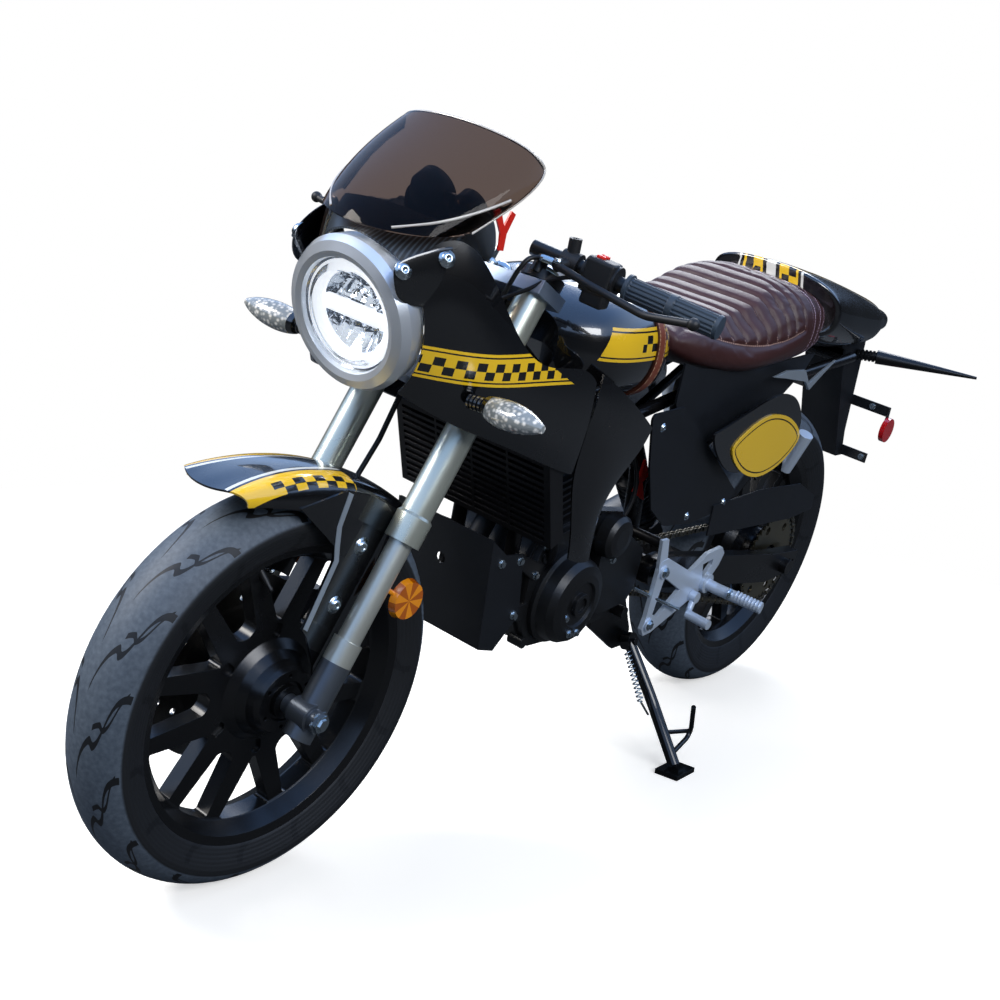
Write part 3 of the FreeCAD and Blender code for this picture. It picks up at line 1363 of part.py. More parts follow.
report("steering", PARKED, STEER_POINT, UP_FORK)
report("front_wheel_spin", STEERED, FRONT_AXLE, LEFT)
report("rear_wheel_spin", PARKED, REAR_AXLE, LEFT)
report("side_stand_fold", PARKED, stand_points()[0], stand_axis())
for sign, word in ((1, "left"), (-1, "right")):
    report(f"mirror_thread_{word}", STEERED, mirror_mouth(sign), vec(2, 0, 34))
    report(f"spool_thread_{word}", PARKED, spool_mouth(sign), LEFT * sign)
print("box", whole_box())
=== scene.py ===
"""Looks of a cafe racer motorcycle that leans on its side stand.

New pieces are drawn on the upright machine in millimetres: X forward, Y to the rider's left,
Z up, with the rear axle above X = 0. UPRIGHT and STEERED carry them to where the frame stands.
"""
import json
import math

import bmesh
import bpy
from mathutils import Matrix, Vector
from mathutils.bvhtree import BVHTree


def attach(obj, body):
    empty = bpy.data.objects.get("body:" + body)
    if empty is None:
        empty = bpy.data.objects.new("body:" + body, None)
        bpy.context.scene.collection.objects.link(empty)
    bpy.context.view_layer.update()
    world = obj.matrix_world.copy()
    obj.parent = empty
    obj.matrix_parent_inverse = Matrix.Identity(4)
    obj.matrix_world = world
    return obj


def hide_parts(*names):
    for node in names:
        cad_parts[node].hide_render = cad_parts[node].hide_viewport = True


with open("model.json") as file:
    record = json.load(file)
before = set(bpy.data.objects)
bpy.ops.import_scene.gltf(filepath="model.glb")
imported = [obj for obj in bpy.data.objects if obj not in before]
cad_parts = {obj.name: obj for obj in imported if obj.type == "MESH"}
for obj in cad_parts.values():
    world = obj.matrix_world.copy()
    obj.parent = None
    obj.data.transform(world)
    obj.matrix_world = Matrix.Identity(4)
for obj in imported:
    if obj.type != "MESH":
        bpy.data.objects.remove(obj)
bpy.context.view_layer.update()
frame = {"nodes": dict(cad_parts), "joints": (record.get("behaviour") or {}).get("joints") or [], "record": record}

MM = 0.001
RAKE = math.radians(25.3)
WHEELBASE = 1376.7
REAR_RADIUS = 314.0
FRONT_RADIUS = 292.4
FRONT_HALF, FRONT_RIM_HALF = 55, 43
REAR_HALF, REAR_RIM_HALF = 70, 56
FORK_OFFSET = 35.9
FORK_HALF = 92.6
AXLE_LEAD = 8.0
# How far a tyre's crown falls from its middle to its edge, as a share of the half width
CROWN_DROP = 0.62

LEFT = Vector((0, 1, 0))
REAR_AXLE = Vector((0, 0, REAR_RADIUS))
FRONT_AXLE = Vector((WHEELBASE, 0, FRONT_RADIUS))
UP_FORK = Vector((-math.sin(RAKE), 0, math.cos(RAKE)))
OFF_FORK = Vector((math.cos(RAKE), 0, math.sin(RAKE)))
FORK_FOOT = FRONT_AXLE - OFF_FORK * AXLE_LEAD

JOINTS = {joint["name"]: joint for joint in frame["joints"]}
REAR_PLACE = Vector(JOINTS["rear_wheel_spin"]["pos_m"])
LEFTWARDS = Vector(JOINTS["rear_wheel_spin"]["axis"])
UP_FORK_PLACED = Vector(JOINTS["steering"]["axis"])
STEER_PLACE = Vector(JOINTS["steering"]["pos_m"])
STEERED_LEFT = Vector(JOINTS["front_wheel_spin"]["axis"])


def machine_matrix():
    """From millimetres on the upright machine to metres where it stands."""
    ahead = LEFTWARDS.cross(UP_FORK_PLACED)
    forward = ahead * math.cos(RAKE) - UP_FORK_PLACED * math.sin(RAKE)
    upward = ahead * math.sin(RAKE) + UP_FORK_PLACED * math.cos(RAKE)
    turn = Matrix((forward, LEFTWARDS, upward)).transposed().to_4x4()
    return (Matrix.Translation(REAR_PLACE) @ turn @ Matrix.Scale(MM, 4)
            @ Matrix.Translation((0, 0, -REAR_RADIUS)))


def steered_matrix():
    """The same for what turns with the bars, which rest a little to the right."""
    angle = LEFTWARDS.angle(STEERED_LEFT)
    if LEFTWARDS.cross(STEERED_LEFT).dot(UP_FORK_PLACED) < 0:
        angle = -angle
    pivot = Matrix.Translation(STEER_PLACE)
    return pivot @ Matrix.Rotation(angle, 4, UP_FORK_PLACED) @ pivot.inverted() @ UPRIGHT


UPRIGHT = machine_matrix()
STEERED = steered_matrix()


def along_fork(up, side=0.0, ahead=0.0):
    """Point beside the left or right fork leg, from its foot beside the front axle."""
    return FORK_FOOT + UP_FORK * up + LEFT * side + OFF_FORK * ahead


def ray(degrees):
    """Unit direction in side view."""
    return Vector((math.cos(math.radians(degrees)), 0, math.sin(math.radians(degrees))))


# Camera, floor and light

CAMERA_FROM_REAR_AXLE = (2729.8, 1300.4, 680.8)
AIM_FROM_REAR_AXLE = (900.0, 22.4, 183.7)
CAMERA_ROLL = -6.81
LENS_MM = 51.75
SENSOR_MM = 36.0
PRINCIPAL_SHIFT = (0.0009, 0.0062)

WHITE = "#FFFFFF"


def make_camera():
    place = REAR_PLACE + Vector(CAMERA_FROM_REAR_AXLE) * MM
    aim = REAR_PLACE + Vector(AIM_FROM_REAR_AXLE) * MM
    data = bpy.data.cameras.new("camera")
    data.lens = LENS_MM
    data.sensor_width = SENSOR_MM
    data.shift_x, data.shift_y = PRINCIPAL_SHIFT
    camera = bpy.data.objects.new("camera", data)
    bpy.context.scene.collection.objects.link(camera)
    look = (aim - place).to_track_quat("-Z", "Y").to_matrix().to_4x4()
    roll = Matrix.Rotation(math.radians(-CAMERA_ROLL), 4, "Z")
    camera.matrix_world = Matrix.Translation(place) @ look @ roll
    bpy.context.scene.camera = camera


def shade(code, share=1.0):
    """Linear colour from an sRGB hex code, made darker or lighter."""
    parts = [int(code[i:i + 2], 16) / 255 for i in (1, 3, 5)]
    linear = [c / 12.92 if c <= 0.04045 else ((c + 0.055) / 1.055) ** 2.4 for c in parts]
    return [min(1.0, c * share) for c in linear] + [1.0]


def add(tree, kind, inputs=None, **settings):
    """One shader node, with its settings and with each input a value or another node's output."""
    made = tree.nodes.new("ShaderNode" + kind)
    for name, value in settings.items():
        setattr(made, name, value)
    for name, value in (inputs or {}).items():
        value = getattr(value, "socket", value)
        if isinstance(value, bpy.types.NodeSocket):
            tree.links.new(value, made.inputs[name])
        else:
            made.inputs[name].default_value = value
    return made


class Number:
    """A number that a material works out at each point, for use in ordinary sums."""

    def __init__(self, tree, socket):
        self.tree = tree
        self.socket = socket

    def worked(self, operation, *others):
        """The number after one step of a sum."""
        made = add(self.tree, "Math", dict(enumerate((self, *others))), operation=operation)
        return Number(self.tree, made.outputs[0])

    def __add__(self, other):
        return self.worked("ADD", other)

    def __sub__(self, other):
        return self.worked("SUBTRACT", other)

    def __mul__(self, other):
        return self.worked("MULTIPLY", other)

    def __truediv__(self, other):
        return self.worked("DIVIDE", other)

    def __gt__(self, other):
        return self.worked("GREATER_THAN", other)

    def __lt__(self, other):
        return self.worked("LESS_THAN", other)

    def __abs__(self):
        return self.worked("ABSOLUTE")

    def between(self, low, high):
        """1 between two limits and 0 elsewhere."""
        return (self > low) * (self < high)

    def mixed(self, first, second):
        """Colour that turns from the first to the second as the number goes from 0 to 1."""
        return add(self.tree, "Mix", {0: self, 6: first, 7: second}, data_type="RGBA").outputs[2]


def new_material(name):
    made = bpy.data.materials.new(name)
    made.use_nodes = True
    made.node_tree.nodes.clear()
    return made, made.node_tree


def lit_area(name, place, aim, size, power, tint=WHITE):
    """Rectangular lamp of some watts that looks from one place to another, in metres."""
    data = bpy.data.lights.new(name, "AREA")
    data.shape = "RECTANGLE"
    data.size, data.size_y = size
    data.energy = power
    data.color = shade(tint)[:3]
    lamp = bpy.data.objects.new(name, data)
    bpy.context.scene.collection.objects.link(lamp)
    aim_way = (Vector(aim) - Vector(place)).to_track_quat("-Z", "Y").to_matrix().to_4x4()
    lamp.matrix_world = Matrix.Translation(place) @ aim_way


FADE_METRES = (1.0, 2.2)


def make_floor():
    """Pale floor that the camera sees fade to white, and that reflects as grey ground."""
    mesh = bpy.data.meshes.new("floor")
    shape = bmesh.new()
    bmesh.ops.create_grid(shape, x_segments=1, y_segments=1, size=30)
    shape.to_mesh(mesh)
    shape.free()
    floor = bpy.data.objects.new("floor", mesh)
    bpy.context.scene.collection.objects.link(floor)
    paper, tree = new_material("white_paper_floor")
    path = add(tree, "LightPath")
    matte = add(tree, "BsdfDiffuse", {"Color": shade("#F2F2F2")})
    glow = add(tree, "Emission", {"Color": shade(WHITE), "Strength": 0.5})
    both = add(tree, "AddShader", {0: matte.outputs[0], 1: glow.outputs[0]})
    white = add(tree, "Emission", {"Color": shade(WHITE), "Strength": 1.0})
    middle = add(tree, "TexCoord").outputs["Object"]
    far = add(tree, "VectorMath", {0: middle}, operation="LENGTH").outputs["Value"]
    fade = add(tree, "MapRange", {"Value": far, "From Min": FADE_METRES[0],
                                  "From Max": FADE_METRES[1]}).outputs[0]
    seen = add(tree, "MixShader", {0: fade, 1: both.outputs[0], 2: white.outputs[0]})
    ground = add(tree, "BsdfDiffuse", {"Color": shade("#4C5056")})
    mix = add(tree, "MixShader", {0: path.outputs["Is Camera Ray"], 1: ground.outputs[0],
                                  2: seen.outputs[0]})
    add(tree, "OutputMaterial", {"Surface": mix.outputs[0]})
    mesh.materials.append(paper)


HORIZON = ((0.22, "#30363F"), (0.27, "#9DBDEE"), (0.45, "#A9C6F2"))


def make_room():
    """White for the camera; for light and gloss a pale blue sky over a dark horizon."""
    world = bpy.data.worlds.new("studio")
    bpy.context.scene.world = world
    world.use_nodes = True
    tree = world.node_tree
    tree.nodes.clear()
    path = add(tree, "LightPath").outputs
    seen = Number(tree, path["Is Camera Ray"]).worked("MAXIMUM", path["Is Transmission Ray"])
    way = add(tree, "TexCoord").outputs["Generated"]
    height = add(tree, "SeparateXYZ", {0: way}).outputs["Z"]
    ramp = add(tree, "ValToRGB", {"Fac": height})
    stops = ramp.color_ramp.elements
    stops[0].position, stops[0].color = 0.16, shade("#1C1F24")
    stops[1].position, stops[1].color = 0.75, shade("#7FA8E6")
    for position, code in HORIZON:
        stops.new(position).color = shade(code)
    gloss = add(tree, "Background", {"Color": ramp.outputs[0], "Strength": 1.5})
    room = add(tree, "Background", {"Color": shade("#D5E0EE"), "Strength": 0.55})
    inner = add(tree, "MixShader", {0: path["Is Glossy Ray"], 1: room.outputs[0],
                                    2: gloss.outputs[0]})
    white = add(tree, "Background", {"Color": shade(WHITE), "Strength": 1.0})
    mix = add(tree, "MixShader", {0: seen, 1: inner.outputs[0], 2: white.outputs[0]})
    add(tree, "OutputWorld", {"Surface": mix.outputs[0]})


def make_lights():
    lit_area("key_light", (2.4, -1.9, 3.0), (0.1, 0, 0.5), (1.6, 1.6), 120, "#FFF9F0")
    lit_area("side_light", (1.2, 3.2, 2.4), (0, 0, 0.5), (2.4, 1.2), 75)
    lit_area("back_light", (-2.6, -1.2, 2.8), (0, 0, 0.6), (2.0, 1.2), 60)


# Shared parts of materials

def in_millimetres(tree, matrix):
    """Shading coordinates in millimetres on the upright machine."""
    place, turn, scale = matrix.inverted().decompose()
    own = add(tree, "TexCoord").outputs["Object"]
    return add(tree, "Mapping", {"Vector": own, "Location": place, "Rotation": turn.to_euler(),
                                 "Scale": scale}).outputs[0]


def spot_on(tree, matrix):
    """How far ahead, to the left and up the shaded point lies, in millimetres."""
    parts = add(tree, "SeparateXYZ", {0: in_millimetres(tree, matrix)}).outputs
    return [Number(tree, part) for part in parts]


def grained(tree, here, kind, scale, depth, edge_mm=0.0):
    """Fine surface grain, and a soft highlight along hard edges."""
    if kind == "cells":
        field = add(tree, "TexVoronoi", {"Vector": here, "Scale": scale},
                    feature="DISTANCE_TO_EDGE").outputs["Distance"]
    elif kind == "brushed":
        drawn = add(tree, "Mapping", {"Vector": here, "Scale": (scale, scale, scale * 0.04)})
        field = add(tree, "TexNoise", {"Vector": drawn.outputs[0], "Scale": 1.0}).outputs[0]
    else:
        field = add(tree, "TexNoise", {"Vector": here, "Scale": scale, "Detail": 3.0}).outputs[0]
    inputs = {"Height": field, "Distance": depth * MM, "Strength": 1.0}
    if edge_mm:
        rounded = add(tree, "Bevel", {"Radius": edge_mm * MM}, samples=3)
        inputs["Normal"] = rounded.outputs[0]
    return add(tree, "Bump", inputs).outputs[0]


def surfaced(made, inputs):
    """Ends a material with one shader."""
    shader = add(made.node_tree, "BsdfPrincipled", inputs)
    add(made.node_tree, "OutputMaterial", {"Surface": shader.outputs[0]})
    return made


def finish(name, code, roughness, metallic=0.0, vary=0.12, spread=0.05,
           grain=("noise", 700, 0.05), paint=None, edge_mm=0.0, shine=None):
    """Material with a colour that drifts, an uneven gloss and a fine grain."""
    made, tree = new_material(name)
    here = add(tree, "TexCoord").outputs["Object"]
    cloud = add(tree, "TexNoise", {"Vector": here, "Scale": 8.0, "Detail": 6.0}).outputs[0]
    base = Number(tree, cloud).mixed(shade(code, 1 - vary), shade(code, 1 + vary))
    if paint:
        base = paint(tree, base)
    uneven = add(tree, "MapRange", {"Value": cloud, "From Min": 0.3, "From Max": 0.7,
                                    "To Min": max(0.01, roughness - spread),
                                    "To Max": roughness + spread}).outputs[0]
    return surfaced(made, {"Base Color": base, "Roughness": uneven, "Metallic": metallic,
                           "Normal": grained(tree, here, *grain, edge_mm), **(shine or {})})


def line_through(value, one, two):
    """Straight run of one number over another, through two (over, height) points."""
    steep = (two[1] - one[1]) / (two[0] - one[0])
    return (value - one[0]) * steep + one[1]


def checker(along, across, low, high):
    """Two rows of squares between two heights of a band; along counts pairs of squares."""
    middle = (low + high) / 2
    lower = across.between(low, middle)
    upper = across.between(middle, high)
    phase = (along + lower * 0.5).worked("FRACT")
    return (phase < 0.5) * (lower + upper)


def stitched(along, step, share):
    """1 on each stitch of a thread and 0 on the gaps between them."""
    return (along / step).worked("FRACT") < share


YELLOW = "#FFD024"
CHECK_BLACK = "#101010"
EDGE_LINES = ((0.09, 0.14), (0.86, 0.91))


def checked(dark):
    """Yellow with dark squares."""
    return dark.mixed(shade(YELLOW), shade(CHECK_BLACK))


def banded(base, inside, across, dark):
    """Yellow band with thin black lines inside its two edges and dark squares."""
    lines = across.between(*EDGE_LINES[0]) + across.between(*EDGE_LINES[1])
    return inside.mixed(base, checked(lines.worked("MAXIMUM", dark)))


def fairing_paint(tree, base):
    """Checked band that starts on a slant and wraps round the corner beside the lamp."""
    ahead, side, up = spot_on(tree, UPRIGHT)
    across = line_through(up, (768, 0.0), (812, 1.0))
    start = line_through(up, (770, 1058), (808, 1141))
    inside = across.between(0.0, 1.0) * (ahead > start)
    pair, wrap = 33.4, 0.45
    along = (ahead - abs(side) * wrap) / pair - 0.41
    return banded(base, inside, across, checker(along, across, 0.2, 0.72))


def tank_paint(tree, base):
    """Checked band on each side of the tank, with slanting ends and a plain yellow front."""
    ahead, side, up = spot_on(tree, UPRIGHT)
    low, high = 791, 840
    pair, checks_end, flat_top = 38.0, 868.0, 60.0
    across = line_through(up, (low, 0.0), (high, 1.0))
    front = line_through(up, (low, 966), (high, 943))
    rear = line_through(up, (low, 728), (high, 744))
    inside = across.between(0.0, 1.0) * ahead.between(rear, front) * (abs(side) > flat_top)
    dark = checker(ahead / pair, across, 0.28, 0.78) * (ahead < checks_end)
    return banded(base, inside, across, dark)


def mudguard_paint(tree, base):
    """Lines that draw in towards the middle as they run back, measured round the guard."""
    ahead, side, up = spot_on(tree, STEERED)
    away, rise = ahead - WHEELBASE, up - FRONT_RADIUS
    turn = away.worked("ARCTAN2", rise).worked("DEGREES")
    reach = (away * away + rise * rise).worked("SQRT")
    crown = line_through(turn, (5.0, 328.0), (28.5, 352.0))
    drop = (crown - reach).worked("MAXIMUM", 0.0)
    draw_in = (turn - 9.0) * 0.657
    girth = abs(side) + drop - draw_in
    front = turn.between(-9.5, 26.8)
    across = line_through(girth, (78.0, 0.0), (35.0, 1.0))
    pair, checks_end = 6.6, 17.0
    dark = checker(turn / pair - 0.1, across, 0.0, 0.62) * (turn < checks_end)
    base = (girth.between(25.5, 31.0) * front).mixed(base, shade("#E6EAEC"))
    return (across.between(0.0, 1.0) * front).mixed(base, checked(dark))


def cowl_paint(tree, base):
    """Checked yellow stripes beside a white one, with a thin white line outside each."""
    ahead, side, up = spot_on(tree, UPRIGHT)
    inner, outer, shoulder, pair = 18.0, 58.0, 840.0, 40.0
    out = abs(side)
    top = up > shoulder
    across = line_through(out, (inner, 0.0), (outer, 1.0))
    white = out.between(-1.0, 10.0).worked("MAXIMUM", out.between(64.0, 69.0))
    base = (white * top).mixed(base, shade("#EEF0F0"))
    dark = checker(ahead / pair, across, 0.12, 0.88)
    return (out.between(inner, outer) * top).mixed(base, checked(dark))


def fork_leg_paint(tree, base):
    """Polished tube above the casting that holds the axle and the caliper."""
    casting_top = 78.0
    ahead, _, up = spot_on(tree, STEERED)
    rise = (up - FORK_FOOT.z) * UP_FORK.z + (ahead - FORK_FOOT.x) * UP_FORK.x
    return (rise > casting_top).mixed(base, shade("#C9CCC4"))


def dash_rib_highlights(tree, base):
    """Fine ribs moulded along the cover, drawn as painted highlights on the ridges over the plastic's own dark."""
    _, side, _ = spot_on(tree, UPRIGHT)
    wave = (side * 1.15).worked("SINE")
    # painted highlight: the ridges of the ribs are lightened to blue grey as if lit
    ridge_highlight = add(tree, "MapRange", {"Value": wave, "From Min": -0.2, "From Max": 0.9})
    return Number(tree, ridge_highlight.outputs[0]).mixed(base, shade("#46525F"))


# The seat's sewing, which its paint and its shape share
PLEAT = 34.0
PLEAT_START = 640.0
PLEAT_BOW = 0.0009
PLEATED = (296.0, PLEAT_START + 20)
BOLSTER_ROWS = (262.0, 228.0, 194.0)
SEAM_LOW = (465.0, 802.0)
SEAM_AHEAD = 35 / 212 ** 2
SEAM_BEHIND = 29 / 185 ** 2
SEAM_OUT = 80.0


def seat_paint(tree, base):
    """Pale thread in the valleys of the pleats, along the side seam and in double rows behind."""
    ahead, side, up = spot_on(tree, UPRIGHT)
    across = abs(side)
    bowed = ahead + side * side * PLEAT_BOW
    lane = (bowed - PLEAT_START) / PLEAT
    gap = abs(lane - lane.worked("ROUND"))
    dash = stitched(across - up, 6.0, 0.7)
    off = ahead - SEAM_LOW[0]
    steep = (off > 0.0) * (SEAM_AHEAD - SEAM_BEHIND) + SEAM_BEHIND
    over = up - (off * off * steep + SEAM_LOW[1])
    thread = (gap < 0.03) * (over > 2.0) * bowed.between(*PLEATED) * dash
    edge = over.between(-1.2, 1.0) * (across > SEAM_OUT) * (ahead > 285.0)
    edge = edge * stitched(ahead, 6.0, 0.7)
    base = thread.worked("MAXIMUM", edge).mixed(base, shade("#A98A80"))
    double = 0.0
    for row in BOLSTER_ROWS:
        for line in (row - 6.0, row + 6.0):
            double = bowed.between(line - 0.9, line + 0.9).worked("MAXIMUM", double)
    return (double * dash).mixed(base, shade("#B8A2BC"))


def footrest_paint(tree, base):
    """Black brackets for the passenger pegs; the rest is bare alloy."""
    ahead, side, up = spot_on(tree, UPRIGHT)
    black = (abs(side) < 131.0) * (ahead < 262.0) * (up > 540.0)
    return black.mixed(base, shade("#0E0E10"))


def strap_paint(tree, base):
    """Stitches along both edges, and a darker edge."""
    ahead, side, up = spot_on(tree, UPRIGHT)
    middle, edge = 802.0, 14.6
    off = abs(ahead - middle)
    base = (off > edge).mixed(base, shade("#4A2416"))
    stitch = off.between(11.0, 12.6) * stitched(abs(side) - up, 8.0, 0.62)
    return stitch.mixed(base, shade("#E7C9A0"))


def signal_paint(tree, base):
    """Black rubber stalk, and outside it a silver lamp whose cells carry painted white glints."""
    _, side, _ = spot_on(tree, UPRIGHT)
    cells = add(tree, "TexVoronoi", {"Vector": in_millimetres(tree, UPRIGHT), "Scale": 0.16})
    # painted highlight: white glints at the middle of each cell of the silver reflector
    spots = add(tree, "MapRange", {"Value": cells.outputs["Distance"], "From Min": 0.2,
                                   "From Max": 0.55, "To Min": 1.0, "To Max": 0.0})
    silver_and_glints = Number(tree, spots.outputs[0]).mixed(shade("#8F979C"), shade(WHITE))
    stalk_end = 180.0
    return (abs(side) > stalk_end).mixed(base, silver_and_glints)


def reflector_paint(tree, base):
    """Wedges of prisms with painted shade, a darker amber, on every other wedge, as if those facets turned away
    from the light.
    """
    ahead, _, up = spot_on(tree, STEERED)
    middle = along_fork(196, 0, -52)
    angle = (up - middle.z).worked("ARCTAN2", ahead - middle.x)
    # painted shade: every other wedge is darkened to deep amber
    light = (angle / (math.pi / 3)).worked("FRACT") < 0.5
    return light.mixed(shade("#B85C04"), base)


# Materials, one for each slot of the record and some for single pieces

GROOVES = ((((0.0, 0.0), (0.38, 0.95), (0.5, 0.9), (0.8, 1.45), (1.0, 1.5)),
            0.0, 0.05, (0.08, 0.95)),
           (((0.0, 0.0), (0.55, 0.6), (0.65, 0.55), (0.9, 1.0), (1.0, 1.05)),
            0.45, 0.035, (0.42, 0.9)))
GROOVE_REPEATS = 15
GROOVE_RUN = 1.5


def tread(name, axle, matrix, half):
    """Tread painted blue-grey, partly dust and partly a painted reflection of the sky, with lightning grooves, and
    black shoulders and sidewalls.
    """
    made, tree = new_material(name)
    ahead, side, up = spot_on(tree, matrix)
    away, rise = ahead - axle.x, up - axle.z
    turn = rise.worked("ARCTAN2", away) / (math.tau / GROOVE_REPEATS) + (side > 0.0) * 0.5
    out = abs(side) / half
    cuts = []
    for bends, phase, width, reach in GROOVES:
        ramp = add(tree, "FloatCurve", {"Factor": 1.0, "Value": out})
        curve = ramp.mapping.curves[0]
        curve.points[0].location = bends[0][0], bends[0][1] / GROOVE_RUN
        curve.points[1].location = bends[-1][0], bends[-1][1] / GROOVE_RUN
        for place, height in bends[1:-1]:
            curve.points.new(place, height / GROOVE_RUN)
        ramp.mapping.update()
        shift = Number(tree, ramp.outputs[0]) * GROOVE_RUN
        lane = (turn - shift + phase).worked("FRACT")
        cuts.append((abs(lane - 0.5) < width) * out.between(*reach))
    groove = cuts[0].worked("MAXIMUM", cuts[1])
    here = add(tree, "TexCoord").outputs["Object"]
    dust = add(tree, "TexNoise", {"Vector": here, "Scale": 160.0, "Detail": 8.0}).outputs[0]
    dust_and_sky_sheen = add(tree, "MapRange", {"Value": dust, "From Min": 0.35, "From Max": 0.8})
    # painted reflection: the tread's blue grey stands in for sky light on it, mixed with dust
    base = Number(tree, dust_and_sky_sheen.outputs[0]).mixed(shade("#4A5563"), shade("#606C7B"))
    radius = (away * away + rise * rise).worked("SQRT")
    rings = (radius * 1.1).worked("SINE")
    wall = add(tree, "MapRange", {"Value": out, "From Min": 0.955, "From Max": 0.985})
    inner = radius < axle.z - half * CROWN_DROP - 3
    wall = Number(tree, wall.outputs[0]).worked("MAXIMUM", inner)
    base = groove.mixed(wall.mixed(base, shade("#17191C")), shade("#0B0D10"))
    height = groove * -3.0 + rings * wall * 0.12 + Number(tree, dust) * 0.3
    bump = add(tree, "Bump", {"Height": height, "Distance": MM, "Strength": 0.8})
    return surfaced(made, {"Base Color": base, "Roughness": 0.58, "Normal": bump.outputs[0]})


CLEAN, DUSTY = 0.02, 0.08


def glass(name, code):
    """Clear moulded plastic with faint dust on it."""
    made, tree = new_material(name)
    here = add(tree, "TexCoord").outputs["Object"]
    dust = add(tree, "TexNoise", {"Vector": here, "Scale": 40.0, "Detail": 6.0}).outputs[0]
    haze = add(tree, "MapRange", {"Value": dust, "From Min": 0.4, "From Max": 0.8,
                                  "To Min": CLEAN, "To Max": DUSTY}).outputs[0]
    wave = add(tree, "TexNoise", {"Vector": here, "Scale": 12.0}).outputs[0]
    bump = add(tree, "Bump", {"Height": wave, "Distance": 0.2 * MM, "Strength": 0.3})
    return surfaced(made, {"Base Color": shade(code), "Roughness": haze, "IOR": 1.2,
                           "Transmission Weight": 1.0, "Normal": bump.outputs[0]})


def painted_glow(name, code, strength):
    """White plastic with an uneven painted glow, which stands in for light falling on it."""
    made, tree = new_material(name)
    here = add(tree, "TexCoord").outputs["Object"]
    drift = add(tree, "TexNoise", {"Vector": here, "Scale": 30.0}).outputs[0]
    tint = Number(tree, drift).mixed(shade(code, 0.9), shade(code, 1.1))
    # painted light: the emission stands in for sunlight on the white plastic
    return surfaced(made, {"Base Color": tint, "Roughness": 0.3, "Emission Color": tint,
                           "Emission Strength": strength})


LACQUER = {"Coat Weight": 1.0, "Coat Roughness": 0.03, "Coat IOR": 1.7}
PEEL = ("noise", 60, 0.02)
BLACK_LACQUER = dict(code="#08080A", roughness=0.25, grain=PEEL, shine=LACQUER)

